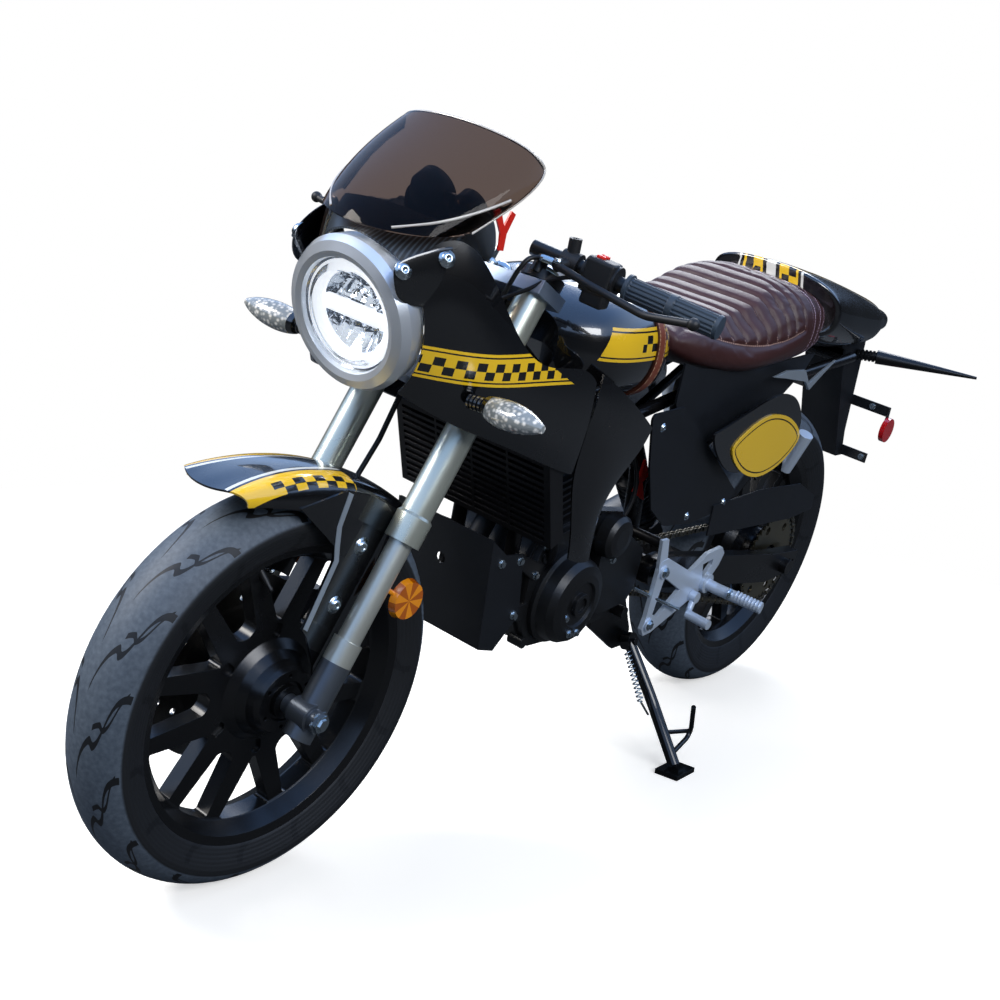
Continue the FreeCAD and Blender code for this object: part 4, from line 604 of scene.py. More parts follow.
FINISHES = {
    # moulded rubber, blue-grey with a painted reflection of the sky: soft wide highlight
    "tyre_rubber": dict(code="#3A4350", roughness=0.62),
    # powder-coated cast alloy: even black with bright rounded edges
    "wheel_paint": dict(code="#0F1012", roughness=0.24, grain=("noise", 500, 0.03), edge_mm=1.4),
    # moulded plastic with ribs: painted grey highlights on the ridges, over black
    "ribbed_plastic": dict(code="#15191E", roughness=0.35, paint=dash_rib_highlights,
                           grain=("cells", 900, 0.04)),
    # painted highlight: a thin bright metal line on the rounded lip of the rim
    "rim_lip_highlight": dict(code="#C9CDD2", roughness=0.25, metallic=1.0,
                          grain=("brushed", 900, 0.02)),
    # ground steel: streaks of grey light
    "disc_steel": dict(code="#8C8A86", roughness=0.32, metallic=1.0,
                       grain=("brushed", 800, 0.05)),
    # anodised tube: pale warm shine with fine lines
    "titanium_anodised": dict(code="#CDD2C6", roughness=0.3, metallic=0.75,
                              grain=("brushed", 900, 0.02)),
    # cast alloy below a polished tube: dull grey, then bright
    "fork_casting": dict(code="#5E656E", roughness=0.36, metallic=0.7, edge_mm=1.0,
                         grain=("noise", 420, 0.1), paint=fork_leg_paint),
    # blasted alloy: soft blue grey
    "yoke_alloy": dict(code="#9FB0C8", roughness=0.34, metallic=0.7, edge_mm=1.2,
                       grain=("noise", 500, 0.08)),
    # satin paint on steel tube: one soft line of light
    "bar_paint": dict(code="#141517", roughness=0.35),
    # soft rubber: dull with a fine pitted skin
    "grip_rubber": dict(code="#33404F", roughness=0.5, grain=("cells", 700, 0.08)),
    # textured plastic: dull, with worn bright edges
    "switch_plastic": dict(code="#17181A", roughness=0.5, grain=("cells", 900, 0.06),
                           edge_mm=1.0),
    # lacquered body panels: deep black that mirrors the sky
    "gloss_black": BLACK_LACQUER,
    # the same lacquer over painted bands: yellow with black squares
    "fairing_band": dict(BLACK_LACQUER, paint=fairing_paint),
    "tank_band": dict(BLACK_LACQUER, paint=tank_paint),
    "mudguard_band": dict(BLACK_LACQUER, paint=mudguard_paint),
    "cowl_band": dict(BLACK_LACQUER, paint=cowl_paint),
    # lacquered yellow: strong colour under a clear shine
    "panel_yellow": dict(code=YELLOW, roughness=0.3, vary=0.04, grain=PEEL, shine=LACQUER),
    # painted line: plain black with less shine
    "pinstripe": dict(code="#141414", roughness=0.3, grain=PEEL),
    # textured plastic: dark and dull
    "matte_black": dict(code="#101318", roughness=0.5, grain=("cells", 900, 0.06)),
    # cast alloy in hard paint: black with soft edges
    "caliper_metal": dict(code="#1C1D20", roughness=0.45, grain=("noise", 500, 0.1),
                          edge_mm=1.2),
    # rubber hose: dull black with a fine skin
    "hose_rubber": dict(code="#131314", roughness=0.45, grain=("cells", 900, 0.05)),
    # moulded prisms: amber with painted shade on every other wedge, and a sparkling grain
    "amber_lens": dict(code="#F8970F", roughness=0.14, paint=reflector_paint,
                       grain=("cells", 420, 0.2), shine=LACQUER),
    # gloss paint on steel tube: long clear highlights
    "frame_paint": dict(code="#0E0E10", roughness=0.28, grain=PEEL, edge_mm=0.8),
    # heat-proof paint on castings: black with a sandy skin
    "engine_paint": dict(code="#121315", roughness=0.38, grain=("noise", 420, 0.12),
                         edge_mm=1.4),
    # painted sheet steel: dark, a little metallic
    "exhaust_steel": dict(code="#19191B", roughness=0.45, metallic=0.4,
                          grain=("brushed", 500, 0.06)),
    # painted cooling fins: near black
    "radiator_metal": dict(code="#0D0D0F", roughness=0.42, grain=("noise", 500, 0.05),
                           edge_mm=0.8),
    # oiled steel: warm grey
    "sprocket_steel": dict(code="#8D8672", roughness=0.35, metallic=1.0,
                           grain=("brushed", 800, 0.04)),
    # greased steel links: uneven brown grey
    "chain_steel": dict(code="#6E6A60", roughness=0.4, metallic=1.0, vary=0.3),
    # enamelled wire: black with bright lines on the coils
    "spring_steel": dict(code="#121214", roughness=0.28, grain=PEEL),
    # zinc plate: bright and a little patchy
    "zinc": dict(code="#C8D2D6", roughness=0.24, metallic=1.0, vary=0.2,
                 grain=("noise", 500, 0.05)),
    # satin chrome: pale ring round the lamp
    "lamp_ring_metal": dict(code="#E2E9F2", roughness=0.34, metallic=0.7,
                            grain=("brushed", 900, 0.02)),
    # plated reflector: broken mirror
    "reflector_chrome": dict(code="#DDE2E8", roughness=0.1, metallic=1.0,
                             grain=("cells", 120, 0.6)),
    # rubber stalk and faceted lens: black, then silver with painted white glints in its cells
    "signal_lens": dict(code="#15171A", roughness=0.2, paint=signal_paint,
                        grain=("cells", 170, 0.5), shine=LACQUER),
    # gloss plastic: black with a soft highlight
    "signal_black": dict(code="#121315", roughness=0.25, grain=PEEL),
    # oiled saddle leather: red brown, with pale thread
    "strap_leather": dict(code="#7A3B26", roughness=0.42, vary=0.25, paint=strap_paint,
                          grain=("cells", 600, 0.12)),
    # soft hide: dark brown with fine wrinkles
    "seat_leather": dict(code="#3E201F", roughness=0.46, vary=0.2, paint=seat_paint,
                         grain=("cells", 500, 0.15)),
    # forged alloy: pale and satin
    "forged_alloy": dict(code="#C3D2E6", roughness=0.36, metallic=0.35, paint=footrest_paint,
                         grain=("noise", 420, 0.12), edge_mm=1.2),
    # clear red plastic: glossy with small cells
    "red_lens": dict(code="#D01420", roughness=0.12, grain=("cells", 300, 0.3), shine=LACQUER),
    # gloss paint on a forged leg: sharp highlights
    "stand_paint": dict(code="#0C0D0F", roughness=0.15, grain=PEEL, edge_mm=0.8),
    # coated steel trim: cold pale blue
    "blue_steel": dict(code="#B4C2D2", roughness=0.3, metallic=0.6, edge_mm=0.8,
                       grain=("brushed", 700, 0.04)),
    # moulded plastic: warm bright red
    "red_plastic": dict(code="#E02A1E", roughness=0.3, grain=("noise", 400, 0.05)),
    # moulded instrument cases: dark grey
    "dial_face": dict(code="#3C434D", roughness=0.45),
    # painted highlight: a pale line along the edge and the creases of clear plastic
    "screen_edge": dict(code="#C8C4C0", roughness=0.12, grain=PEEL, shine=LACQUER),
    # printed marks: flat white
    "white_paint": dict(code="#EEF1F2", roughness=0.4),
}

MATERIALS = {name: finish(name, **settings) for name, settings in FINISHES.items()}
MATERIALS |= {
    # road rubber: pale dust and a painted blue sky reflection on the tread, and black where it is moulded smooth
    "front_tread": tread("front_tread", FRONT_AXLE, STEERED, FRONT_HALF),
    "rear_tread": tread("rear_tread", REAR_AXLE, UPRIGHT, REAR_HALF),
    # clear plastic: the lamp's inside shows through
    "clear_lens": glass("clear_lens", "#F8FBFF"),
    # smoked plastic: brown grey that the background shows through
    "smoked_screen": glass("smoked_screen", "#5C4E47"),
    # white plastic with a painted glow round the lamp, which stands in for sunlight on it
    "light_guide": painted_glow("light_guide", "#F4F8FF", 0.75),
}

BANDED = {"instrument_panel": "dial_face", "dash_cover": "ribbed_plastic",
          "fairing_panels": "fairing_band", "fuel_tank": "tank_band",
          "front_mudguard": "mudguard_band"}


def dress_nodes():
    """Gives every carried-over piece its finish."""
    slots = {entry["node"]: entry["material_slot"] for entry in frame["record"]["subparts"]}
    for name, piece in frame["nodes"].items():
        piece.data.materials.clear()
        piece.data.materials.append(MATERIALS[BANDED.get(name, slots[name])])


# Ways of making pieces

BODY_PLACES = {"chassis": UPRIGHT, "side_stand": UPRIGHT, "rear_wheel": UPRIGHT,
               "steering": STEERED, "front_wheel": STEERED}
BOTH = (1, -1)
SIDES = ((1, "left"), (-1, "right"))


def finished(name, shape, look, body, smooth=True, matrix=None):
    """Sets a drawn shape in its place and makes it ride on a body."""
    if matrix is None:
        matrix = BODY_PLACES[body]
    bmesh.ops.transform(shape, matrix=matrix, verts=shape.verts)
    bmesh.ops.recalc_face_normals(shape, faces=shape.faces)
    mesh = bpy.data.meshes.new(name)
    shape.to_mesh(mesh)
    shape.free()
    for polygon in mesh.polygons:
        polygon.use_smooth = smooth
    mesh.materials.append(MATERIALS[look])
    piece = bpy.data.objects.new(name, mesh)
    bpy.context.scene.collection.objects.link(piece)
    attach(piece, body)
    return piece


def looking(place, axis):
    """Matrix that stands a shape drawn along Z on a place, along an axis."""
    return Matrix.Translation(place) @ Vector(axis).to_track_quat("Z", "Y").to_matrix().to_4x4()


def newer(shape, before):
    """Vertices of a shape that weren't in it before."""
    return [vert for vert in shape.verts if vert not in before]


def moved(shape, before, matrix):
    """Moves the vertices that weren't in the shape before."""
    bmesh.ops.transform(shape, matrix=matrix, verts=newer(shape, before))


def skin(shape, rows, closed=True):
    """Joins rows of corners with faces, each row to the next, all the way round if closed."""
    for one, two in zip(rows, rows[1:]):
        for at in range(len(one) if closed else len(one) - 1):
            after = (at + 1) % len(one)
            shape.faces.new((one[at], one[after], two[after], two[at]))


def plate(shape, outline, push):
    """Flat plate from the points of its outline to where it is pushed; gives the pushed face."""
    face = shape.faces.new([shape.verts.new(point) for point in outline])
    grown = bmesh.ops.extrude_face_region(shape, geom=[face])["geom"]
    raised = [item for item in grown if isinstance(item, bmesh.types.BMVert)]
    bmesh.ops.translate(shape, vec=push, verts=raised)
    return [item for item in grown if isinstance(item, bmesh.types.BMFace)]


def rounded_block(shape, size, bevel, matrix):
    """Box with rounded edges."""
    before = set(shape.verts)
    made = bmesh.ops.create_cube(shape, size=1, matrix=Matrix.Diagonal((*size, 1)))["verts"]
    edges = list({edge for vert in made for edge in vert.link_edges})
    bmesh.ops.bevel(shape, geom=edges, offset=bevel, segments=3, profile=0.5, affect="EDGES",
                    material=-1)
    moved(shape, before, matrix)


def turned(shape, profile, place, axis, steps):
    """Adds a solid of revolution from (radius, along) pairs."""
    before = set(shape.verts)
    row = [shape.verts.new((radius, 0, along)) for radius, along in profile]
    edges = [shape.edges.new(pair) for pair in zip(row, row[1:])]
    bmesh.ops.spin(shape, geom=row + edges, cent=(0, 0, 0), axis=(0, 0, 1), dvec=(0, 0, 0),
                   angle=math.tau, steps=steps, use_merge=True)
    bmesh.ops.remove_doubles(shape, verts=newer(shape, before), dist=0.01)
    moved(shape, before, looking(place, axis))


def wire(name, points, radius, look, body):
    """Round cable or rod along a smooth line, in millimetres."""
    data = bpy.data.curves.new(name, "CURVE")
    data.dimensions = "3D"
    data.bevel_depth = radius * MM
    data.bevel_resolution = 3
    data.resolution_u = 6
    data.use_fill_caps = True
    line = data.splines.new("NURBS")
    line.points.add(len(points) - 1)
    for spot, point in zip(line.points, points):
        spot.co = (*(BODY_PLACES[body] @ Vector(point)), 1.0)
    line.order_u = 3
    line.use_endpoint_u = True
    data.materials.append(MATERIALS[look])
    piece = bpy.data.objects.new(name, data)
    bpy.context.scene.collection.objects.link(piece)
    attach(piece, body)


def hex_head(shape, place, axis, across, height=5.0):
    """Hexagon head with a washer under it."""
    before = set(shape.verts)
    bmesh.ops.create_cone(shape, cap_ends=True, segments=6, radius1=across * 0.62,
                          radius2=across * 0.58, depth=height,
                          matrix=Matrix.Translation((0, 0, height / 2)))
    bmesh.ops.create_cone(shape, cap_ends=True, segments=16, radius1=across * 0.85,
                          radius2=across * 0.8, depth=1.4, matrix=Matrix.Translation((0, 0, 0.6)))
    moved(shape, before, looking(place, axis))


def dome_head(shape, place, axis, radius):
    """Button head with a socket in it, on a washer."""
    turned(shape, [(0, radius * 0.45), (radius * 0.3, radius * 0.45),
                   (radius * 0.34, radius * 0.62), (radius * 0.7, radius * 0.5),
                   (radius * 0.92, radius * 0.25), (radius, 0.4), (radius * 1.3, 0.3),
                   (radius * 1.3, -1.0)], place, axis, 20)


SURFACES = {}


def surface_of(name):
    """Search tree of a node's faces, made once."""
    if name not in SURFACES:
        mesh = frame["nodes"][name].data
        corners = [vertex.co for vertex in mesh.vertices]
        SURFACES[name] = BVHTree.FromPolygons(corners, [p.vertices for p in mesh.polygons])
    return SURFACES[name]


OUTSIDE = 400


def landing(names, matrix, start, way):
    """Where a straight line first meets one of the nodes."""
    origin = matrix @ Vector(start)
    heading = (matrix.to_3x3() @ Vector(way)).normalized()
    best = None
    for name in names:
        hit, _, _, far = surface_of(name).ray_cast(origin, heading)
        if hit and (best is None or far < best[1]):
            best = (hit, far)
    if best is None:
        raise ValueError(f"nothing of {names} on the line through {tuple(start)}")
    return matrix.inverted() @ best[0]


def bolts(name, names, spots, body, domed=0.0, across=8.0, sides=(1,)):
    """Row of bolts on the side faces of some nodes, at (ahead, up) spots seen from the side."""
    shape = bmesh.new()
    for sign in sides:
        for ahead, up in spots:
            start = (ahead, sign * OUTSIDE, up)
            place = landing(names, BODY_PLACES[body], start, (0, -sign, 0))
            if domed:
                dome_head(shape, place, LEFT * sign, domed)
            else:
                hex_head(shape, place, LEFT * sign, across)
    finished(name, shape, "zinc", body, smooth=bool(domed))


# Wheels

ROUND_STEPS = 128
CROWN_STEPS = 12


def tyre(name, node, look, axle, radius, half, rim_half, body):
    """Smooth tyre: beads, sidewalls that bulge a little, and a round crown."""
    crown = half * (1 + CROWN_DROP ** 2) / (2 * CROWN_DROP)
    limit = math.asin(half / crown)
    middle = radius - crown
    profile = [(219, rim_half - 7), (219, rim_half - 2), (222, rim_half + 0.5),
               (228, rim_half + 2), (237, rim_half + 3 + (half - rim_half - 3) * 0.3),
               (middle + crown * math.cos(limit) - 9, half - 2.2)]
    for step in range(CROWN_STEPS + 1):
        angle = limit * (1 - step / CROWN_STEPS)
        profile.append((middle + crown * math.cos(angle), crown * math.sin(angle)))
    profile += [(reach, -along) for reach, along in reversed(profile[:-1])]
    shape = bmesh.new()
    turned(shape, profile, axle, LEFT, ROUND_STEPS)
    piece = finished(name, shape, look, body)
    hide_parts(node)


def rim_highlights_and_valve(name, axle, half, body):
    """Pale metal ring painted as the highlight on both lips of a rim, and a tyre valve."""
    shape = bmesh.new()
    # painted highlight: a bright ring on each rounded lip of the rim
    for sign in BOTH:
        turned(shape, [(226.4, 0), (229.6, 0), (230.0, 0.8), (229.6, 1.6), (226.4, 1.4)],
               axle + LEFT * sign * (half - 0.4), LEFT * sign, ROUND_STEPS)
    finished(name, shape, "rim_lip_highlight", body)
    shape = bmesh.new()
    way = ray(75)
    turned(shape, [(0, 34), (3, 34), (3.4, 30), (3, 24), (4.5, 20), (5.5, 4), (7, 0)],
           axle + way * 188 + LEFT * 8, LEFT * 0.7 - way * 0.7, 12)
    finished(name + "_valve", shape, "hose_rubber", body)


def make_wheels():
    tyre("front_tyre_tread", "front_tyre", "front_tread", FRONT_AXLE, FRONT_RADIUS, FRONT_HALF,
         FRONT_RIM_HALF, "front_wheel")
    tyre("rear_tyre_tread", "rear_tyre", "rear_tread", REAR_AXLE, REAR_RADIUS, REAR_HALF,
         REAR_RIM_HALF, "rear_wheel")
    rim_highlights_and_valve("front_rim_edges", FRONT_AXLE, FRONT_RIM_HALF, "front_wheel")
    rim_highlights_and_valve("rear_rim_edges", REAR_AXLE, REAR_RIM_HALF, "rear_wheel")


# Chain

CHAIN_SIDE = 88.0
PITCH = 15.875


def chain_spots():
    """Places of the chain's pins, in order round both sprockets."""
    front, small = Vector((650, CHAIN_SIDE, 392)), 41.0
    rear, large = REAR_AXLE + LEFT * CHAIN_SIDE, 105.0
    run = front - rear
    slope = math.atan2(run.z, run.x)
    swing = math.acos((large - small) / run.length)
    straight = math.sqrt(run.length ** 2 - (large - small) ** 2)
    wraps = large * 2 * (math.pi - swing), small * 2 * swing
    whole = 2 * straight + sum(wraps)
    count = round(whole / PITCH / 2) * 2
    top, low = ray(math.degrees(slope + swing)), ray(math.degrees(slope - swing))
    spots = []
    for number in range(count):
        way = whole * number / count
        if way < straight:
            spots.append((rear + top * large).lerp(front + top * small, way / straight))
        elif way < straight + wraps[1]:
            angle = slope + swing - (way - straight) / small
            spots.append(front + ray(math.degrees(angle)) * small)
        elif way < 2 * straight + wraps[1]:
            share = (way - straight - wraps[1]) / straight
            spots.append((front + low * small).lerp(rear + low * large, share))
        else:
            angle = slope - swing - (way - 2 * straight - wraps[1]) / large
            spots.append(rear + ray(math.degrees(angle)) * large)
    return spots


LINK_TOP = ((-1.35, 0), (-1.25, 4.4), (-0.8, 5.6), (0, 4.0), (0.8, 5.6), (1.25, 4.4), (1.35, 0))
LINK_OUTLINE = LINK_TOP + tuple((share, -tall) for share, tall in LINK_TOP[-2:0:-1])
LINK_THICK = 1.4


def link_plate(shape, one, two, side):
    """Waisted plate between two pins."""
    half = (two - one) / 2
    across = half.normalized().cross(LEFT)
    middle = (one + two) / 2 + LEFT * (side - LINK_THICK / 2)
    plate(shape, [middle + half * share + across * tall for share, tall in LINK_OUTLINE],
          LEFT * LINK_THICK)


def make_chain():
    """Pins with inner and outer link plates by turns."""
    spots = chain_spots()
    shape = bmesh.new()
    for number, spot in enumerate(spots):
        following = spots[(number + 1) % len(spots)]
        side = 4.2 if number % 2 else 2.6
        for sign in BOTH:
            link_plate(shape, spot, following, sign * side)
        bmesh.ops.create_cone(shape, cap_ends=True, segments=10, radius1=3.2, radius2=3.2,
                              depth=12, matrix=looking(spot, LEFT))
    piece = finished("roller_chain", shape, "chain_steel", "chassis", smooth=False)
    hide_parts("chain")


# Headlamp and windscreen

LAMP = Vector((1363.8, 0, 817.8))
LAMP_TILT = 16.8


def lamp_frame():
    """Matrix of the lamp: X to its left, Y up, Z out through the lens."""
    turn = Matrix((LEFT, ray(90 - LAMP_TILT), ray(-LAMP_TILT))).transposed().to_4x4()
    return Matrix.Translation(LAMP) @ turn


POCKET_REACH = 55
POCKET_FOLDS = 14


def make_lamp_inside():
    """White light guide with a painted glow and a bar across it, and a fluted reflector above and below the bar.
    """
    place = UPRIGHT @ lamp_frame()
    out = (0, 0, 1)
    shape = bmesh.new()
    turned(shape, [(54, -16), (56, -11), (71, -8), (73.5, -10), (73.5, -16)], (0, 0, 0), out, 96)
    rounded_block(shape, (108, 21, 12), 4, Matrix.Translation((0, 0, -18)))
    finished("lamp_light_guide", shape, "light_guide", "chassis", matrix=place)

    shape = bmesh.new()
    for sign in BOTH:
        folds = []
        for number in range(POCKET_FOLDS + 1):
            angle = math.radians(18 + 144 * number / POCKET_FOLDS)
            outer = Vector((math.cos(angle), sign * math.sin(angle), 0)) * POCKET_REACH
            inner = Vector((0.93 * outer.x, sign * 12, 0))
            middle = (outer + inner) / 2
            outer.z, middle.z, inner.z = -16, (-34 if number % 2 else -40), -24
            folds.append([shape.verts.new(spot) for spot in (outer, middle, inner)])
        skin(shape, folds, closed=False)
    finished("lamp_reflectors", shape, "reflector_chrome", "chassis", smooth=False, matrix=place)

    shape = bmesh.new()
    for spot in ((0, 30), (-24, 24), (24, 24)):
        turned(shape, [(0, 9), (5, 8), (8, 5), (9, 0), (10, -1)], (*spot, -30), out, 20)
    finished("lamp_projectors", shape, "clear_lens", "chassis", matrix=place)


# Sides ahead, bow, half width, and the height at the sides and in the middle
SCREEN_ROWS = ((1298, 94, 110, 956, 938), (1256, 88, 124, 990, 990), (1216, 66, 129, 1022, 1040),
               (1190, 42, 122, 1044, 1079))


def screen_spot(row, degrees):
    """Point of the windscreen's bowed section, from its middle at 0 to its sides at 90."""
    ahead, bow, half, low, high = row
    share = math.cos(math.radians(degrees))
    return Vector((ahead + bow * share, half * math.sin(math.radians(degrees)),
                   low + (high - low) * max(share, 0) ** 0.8))


def make_screen_highlights():
    """Pale lines painted as highlights along the windscreen's edge and along the crease on each of its sides."""
    inset = Vector((-2, 0, 0))
    half = [screen_spot(row, -90) for row in SCREEN_ROWS]
    half += [screen_spot(SCREEN_ROWS[-1], degrees) for degrees in range(-75, 1, 15)]
    whole = half + [Vector((p.x, -p.y, p.z)) for p in reversed(half[:-1])]
    # painted highlight: a pale wire round the screen's edge
    wire("screen_edge", [point + inset for point in whole], 2.0, "screen_edge", "chassis")
    for sign, word in SIDES:
        spots = []
        # painted highlight: a pale wire along each side crease of the screen
        for step in range(6):
            start = (1378 - 25 * step, sign * 300, 944 + 12 * step)
            spots.append(landing(["windscreen"], UPRIGHT, start, (0, -sign, 0)))
        wire(f"screen_crease_{word}", spots, 1.9, "screen_edge", "chassis")


# To the left, up and radius
GAUGES = ((-26, 985, 30), (38, 978, 22))
GAUGE_WAY = Vector((-0.82, 0, 0.57))


def make_gauges():
    """Two dials behind the screen, with hoods, faces, marks and glass."""
    for number, (side, up, radius) in enumerate(GAUGES):
        place = Vector((1212, side, up))
        shape = bmesh.new()
        turned(shape, [(0, -34), (radius * 0.7, -32), (radius, -18), (radius, 4),
                       (radius - 2.5, 5), (radius - 3.5, 0), (0, 0)], place, GAUGE_WAY, 40)
        finished(f"gauge_hood_{number}", shape, "dial_face", "chassis")
        shape = bmesh.new()
        turned(shape, [(0, 0.6), (radius - 4, 0.6), (radius - 4, 0)], place, GAUGE_WAY, 40)
        finished(f"gauge_face_{number}", shape, "dial_face", "chassis")
        shape = bmesh.new()
        for step in range(11):
            turn = Matrix.Rotation(math.radians(-30 + 24 * step), 4, "Z")
            mark = turn @ Matrix.Translation((radius - 8, 0, 1)) @ Matrix.Diagonal((5, 1, 0.6, 1))
            bmesh.ops.create_cube(shape, size=1, matrix=looking(place, GAUGE_WAY) @ mark)
        finished(f"gauge_marks_{number}", shape, "white_paint", "chassis", smooth=False)
        shape = bmesh.new()
        turned(shape, [(0, 4.2), (radius * 0.6, 3.8), (radius - 3, 2.6)], place, GAUGE_WAY, 32)
        finished(f"gauge_glass_{number}", shape, "clear_lens", "chassis")


# Seat

# Ahead, half width, bottom and top of each upright section
SEAT_OVALS = ((668, 96, 772, 826), (600, 128, 748, 838), (470, 150, 734, 854),
              (340, 150, 738, 896), (215, 138, 750, 908), (120, 112, 768, 880))
COWL_OVALS = ((330, 128, 852, 912), (220, 142, 800, 922), (100, 136, 772, 912),
              (-60, 112, 760, 890), (-220, 84, 764, 864), (-345, 50, 786, 836))


def smooth_between(before, one, two, after, part):
    """Row of numbers part of the way from one row to the next, on a smooth line through all."""
    return [(2 * q + (r - p) * part + (2 * p - 5 * q + 4 * r - s) * part ** 2
             + (3 * q - p - 3 * r + s) * part ** 3) / 2
            for p, q, r, s in zip(before, one, two, after)]


def blended_row(rows, share):
    """Row of numbers at a share of the way through some rows, on a smooth line."""
    spot = share * (len(rows) - 1)
    at = min(int(spot), len(rows) - 2)
    return smooth_between(rows[max(at - 1, 0)], rows[at], rows[at + 1],
                          rows[min(at + 2, len(rows) - 1)], spot - at)


RING_CORNERS = 48


def signed_power(value, power):
    """Power of a sine or cosine that keeps its sign, which squares up an oval."""
    return math.copysign(abs(value) ** power, value)


def oval_ring(shape, ahead, half, low, high):
    """Corners of an upright oval section with squared shoulders."""
    middle, tall = (low + high) / 2, (high - low) / 2
    ring = []
    for corner in range(RING_CORNERS):
        angle = math.tau * corner / RING_CORNERS
        side = half * signed_power(math.cos(angle), 2 / 3)
        up = middle + tall * signed_power(math.sin(angle), 2 / 3)
        ring.append(shape.verts.new((ahead, side, up)))
    return ring


def seat_seam_up(ahead):
    """Height of the seam between the pleated top and the plain side panel."""
    off = ahead - SEAM_LOW[0]
    return SEAM_LOW[1] + (SEAM_AHEAD if off > 0 else SEAM_BEHIND) * off ** 2


def smooth_step(value, low, high):
    """Soft rise from 0 to 1 between two limits."""
    share = min(1.0, max(0.0, (value - low) / (high - low)))
    return share * share * (3 - 2 * share)


def seat_relief(spot):
    """How far the leather is drawn in at a point, in millimetres."""
    bowed = spot.x + PLEAT_BOW * spot.y ** 2
    over = spot.z - seat_seam_up(spot.x)
    depth = 0.0
    if PLEATED[0] < bowed < PLEATED[1] and over > 0:
        lane = (bowed - PLEAT_START) / PLEAT
        gap = abs(lane - round(lane)) * PLEAT
        valley = 5.0 * math.exp(-(gap / 4.5) ** 2) - 1.5 * math.sin(math.pi * gap / PLEAT)
        depth += valley * smooth_step(over, 0, 16)
    if over > 0 or spot.x < 285:
        for row in BOLSTER_ROWS:
            depth += 2.4 * math.exp(-((bowed - row) / 4.0) ** 2)
    if abs(spot.y) > SEAM_OUT and spot.x > 280:
        depth += 3.0 * math.exp(-(over / 4.0) ** 2)
    return depth


AIR_FRAMES = 20
AIR_PRESSURE = 4.0
AIR_MOVE = 0.009
EVEN_MESH = 0.006
# The pad stays where it is below, behind and ahead of these
HELD_UP, HELD_REAR, HELD_FRONT = 762, 122, 662


def puffed(pad, held):
    """Fills a pad with air by cloth simulation and keeps each point's move short."""
    group = pad.vertex_groups.new(name="held")
    group.add(held, 1.0, "REPLACE")
    start = [vertex.co.copy() for vertex in pad.data.vertices]
    cloth = pad.modifiers.new("air", "CLOTH")
    cloth.settings.use_pressure = True
    cloth.settings.uniform_pressure_force = AIR_PRESSURE
    cloth.settings.effector_weights.gravity = 0.0
    cloth.settings.vertex_group_mass = "held"
    cloth.point_cache.frame_end = AIR_FRAMES
    for number in range(1, AIR_FRAMES + 1):
        bpy.context.scene.frame_set(number)
    ready = pad.evaluated_get(bpy.context.evaluated_depsgraph_get())
    blown = bpy.data.meshes.new_from_object(ready)
    for before, vertex in zip(start, blown.vertices):
        move = vertex.co - before
        if move.length > AIR_MOVE:
            vertex.co = before + move.normalized() * AIR_MOVE
    pad.modifiers.clear()
    pad.vertex_groups.clear()
    pad.data = blown
    bpy.context.scene.frame_set(1)


def applied(piece):
    """Bakes a piece's modifiers into its mesh."""
    ready = piece.evaluated_get(bpy.context.evaluated_depsgraph_get())
    mesh = bpy.data.meshes.new_from_object(ready)
    piece.modifiers.clear()
    piece.data = mesh


def make_seat():
    """Padded seat, blown up a little and then drawn in along its pleats and seams."""
    shape = bmesh.new()
    rings = []
    for step in range(21):
        ahead, half, low, high = blended_row(SEAT_OVALS, step / 20)
        rings.append(oval_ring(shape, ahead, half - 5, low + 4, high - 7))
    skin(shape, rings)
    for ring in (rings[0], rings[-1]):
        shape.faces.new(ring)
    pad = finished("leather_seat", shape, "seat_leather", "chassis")
    remesh = pad.modifiers.new("even", "REMESH")
    remesh.mode = "VOXEL"
    remesh.voxel_size = EVEN_MESH
    applied(pad)
    back = UPRIGHT.inverted()
    held = []
    for vertex in pad.data.vertices:
        spot = back @ vertex.co
        if spot.z < HELD_UP or not HELD_REAR <= spot.x <= HELD_FRONT:
            held.append(vertex.index)
    puffed(pad, held)
    finer = pad.modifiers.new("finer", "SUBSURF")
    finer.levels = finer.render_levels = 1
    applied(pad)
    sunk = [vertex.co - vertex.normal * seat_relief(back @ vertex.co) * MM
            for vertex in pad.data.vertices]
    for vertex, place in zip(pad.data.vertices, sunk):
        vertex.co = place
    for polygon in pad.data.polygons:
        polygon.use_smooth = True
    pad.data.update()
    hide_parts("seat")


# Panels, trim and small parts

COWL_FRONT, COWL_TIP = 208.0, -345.0
COWL_SWEEP = 48.0


def cowl_ring(nominal):
    """Points round the tail cowl's skin; the sides of its front edge lie further back."""
    share = (nominal - COWL_TIP) / (COWL_FRONT - COWL_TIP)
    ring = []
    for corner in range(RING_CORNERS):
        angle = math.tau * corner / RING_CORNERS
        c, s = math.cos(angle), math.sin(angle)
        ahead = nominal - COWL_SWEEP * c ** 4 * share ** 2
        _, half, low, high = blended_row(COWL_OVALS, cowl_share(ahead))
        up = (low + high) / 2 + (high - low) / 2 * signed_power(s, 0.8)
        ring.append(Vector((ahead, half * signed_power(c, 0.8), up)))
    return ring


def cowl_share(ahead):
    """Where a distance ahead falls among the cowl's sections, from 0 in front to 1 behind."""
    rows = [row[0] for row in COWL_OVALS]
    for number, (one, two) in enumerate(zip(rows, rows[1:])):
        if ahead >= two:
            return (number + (one - ahead) / (one - two)) / (len(rows) - 1)
    return 1.0


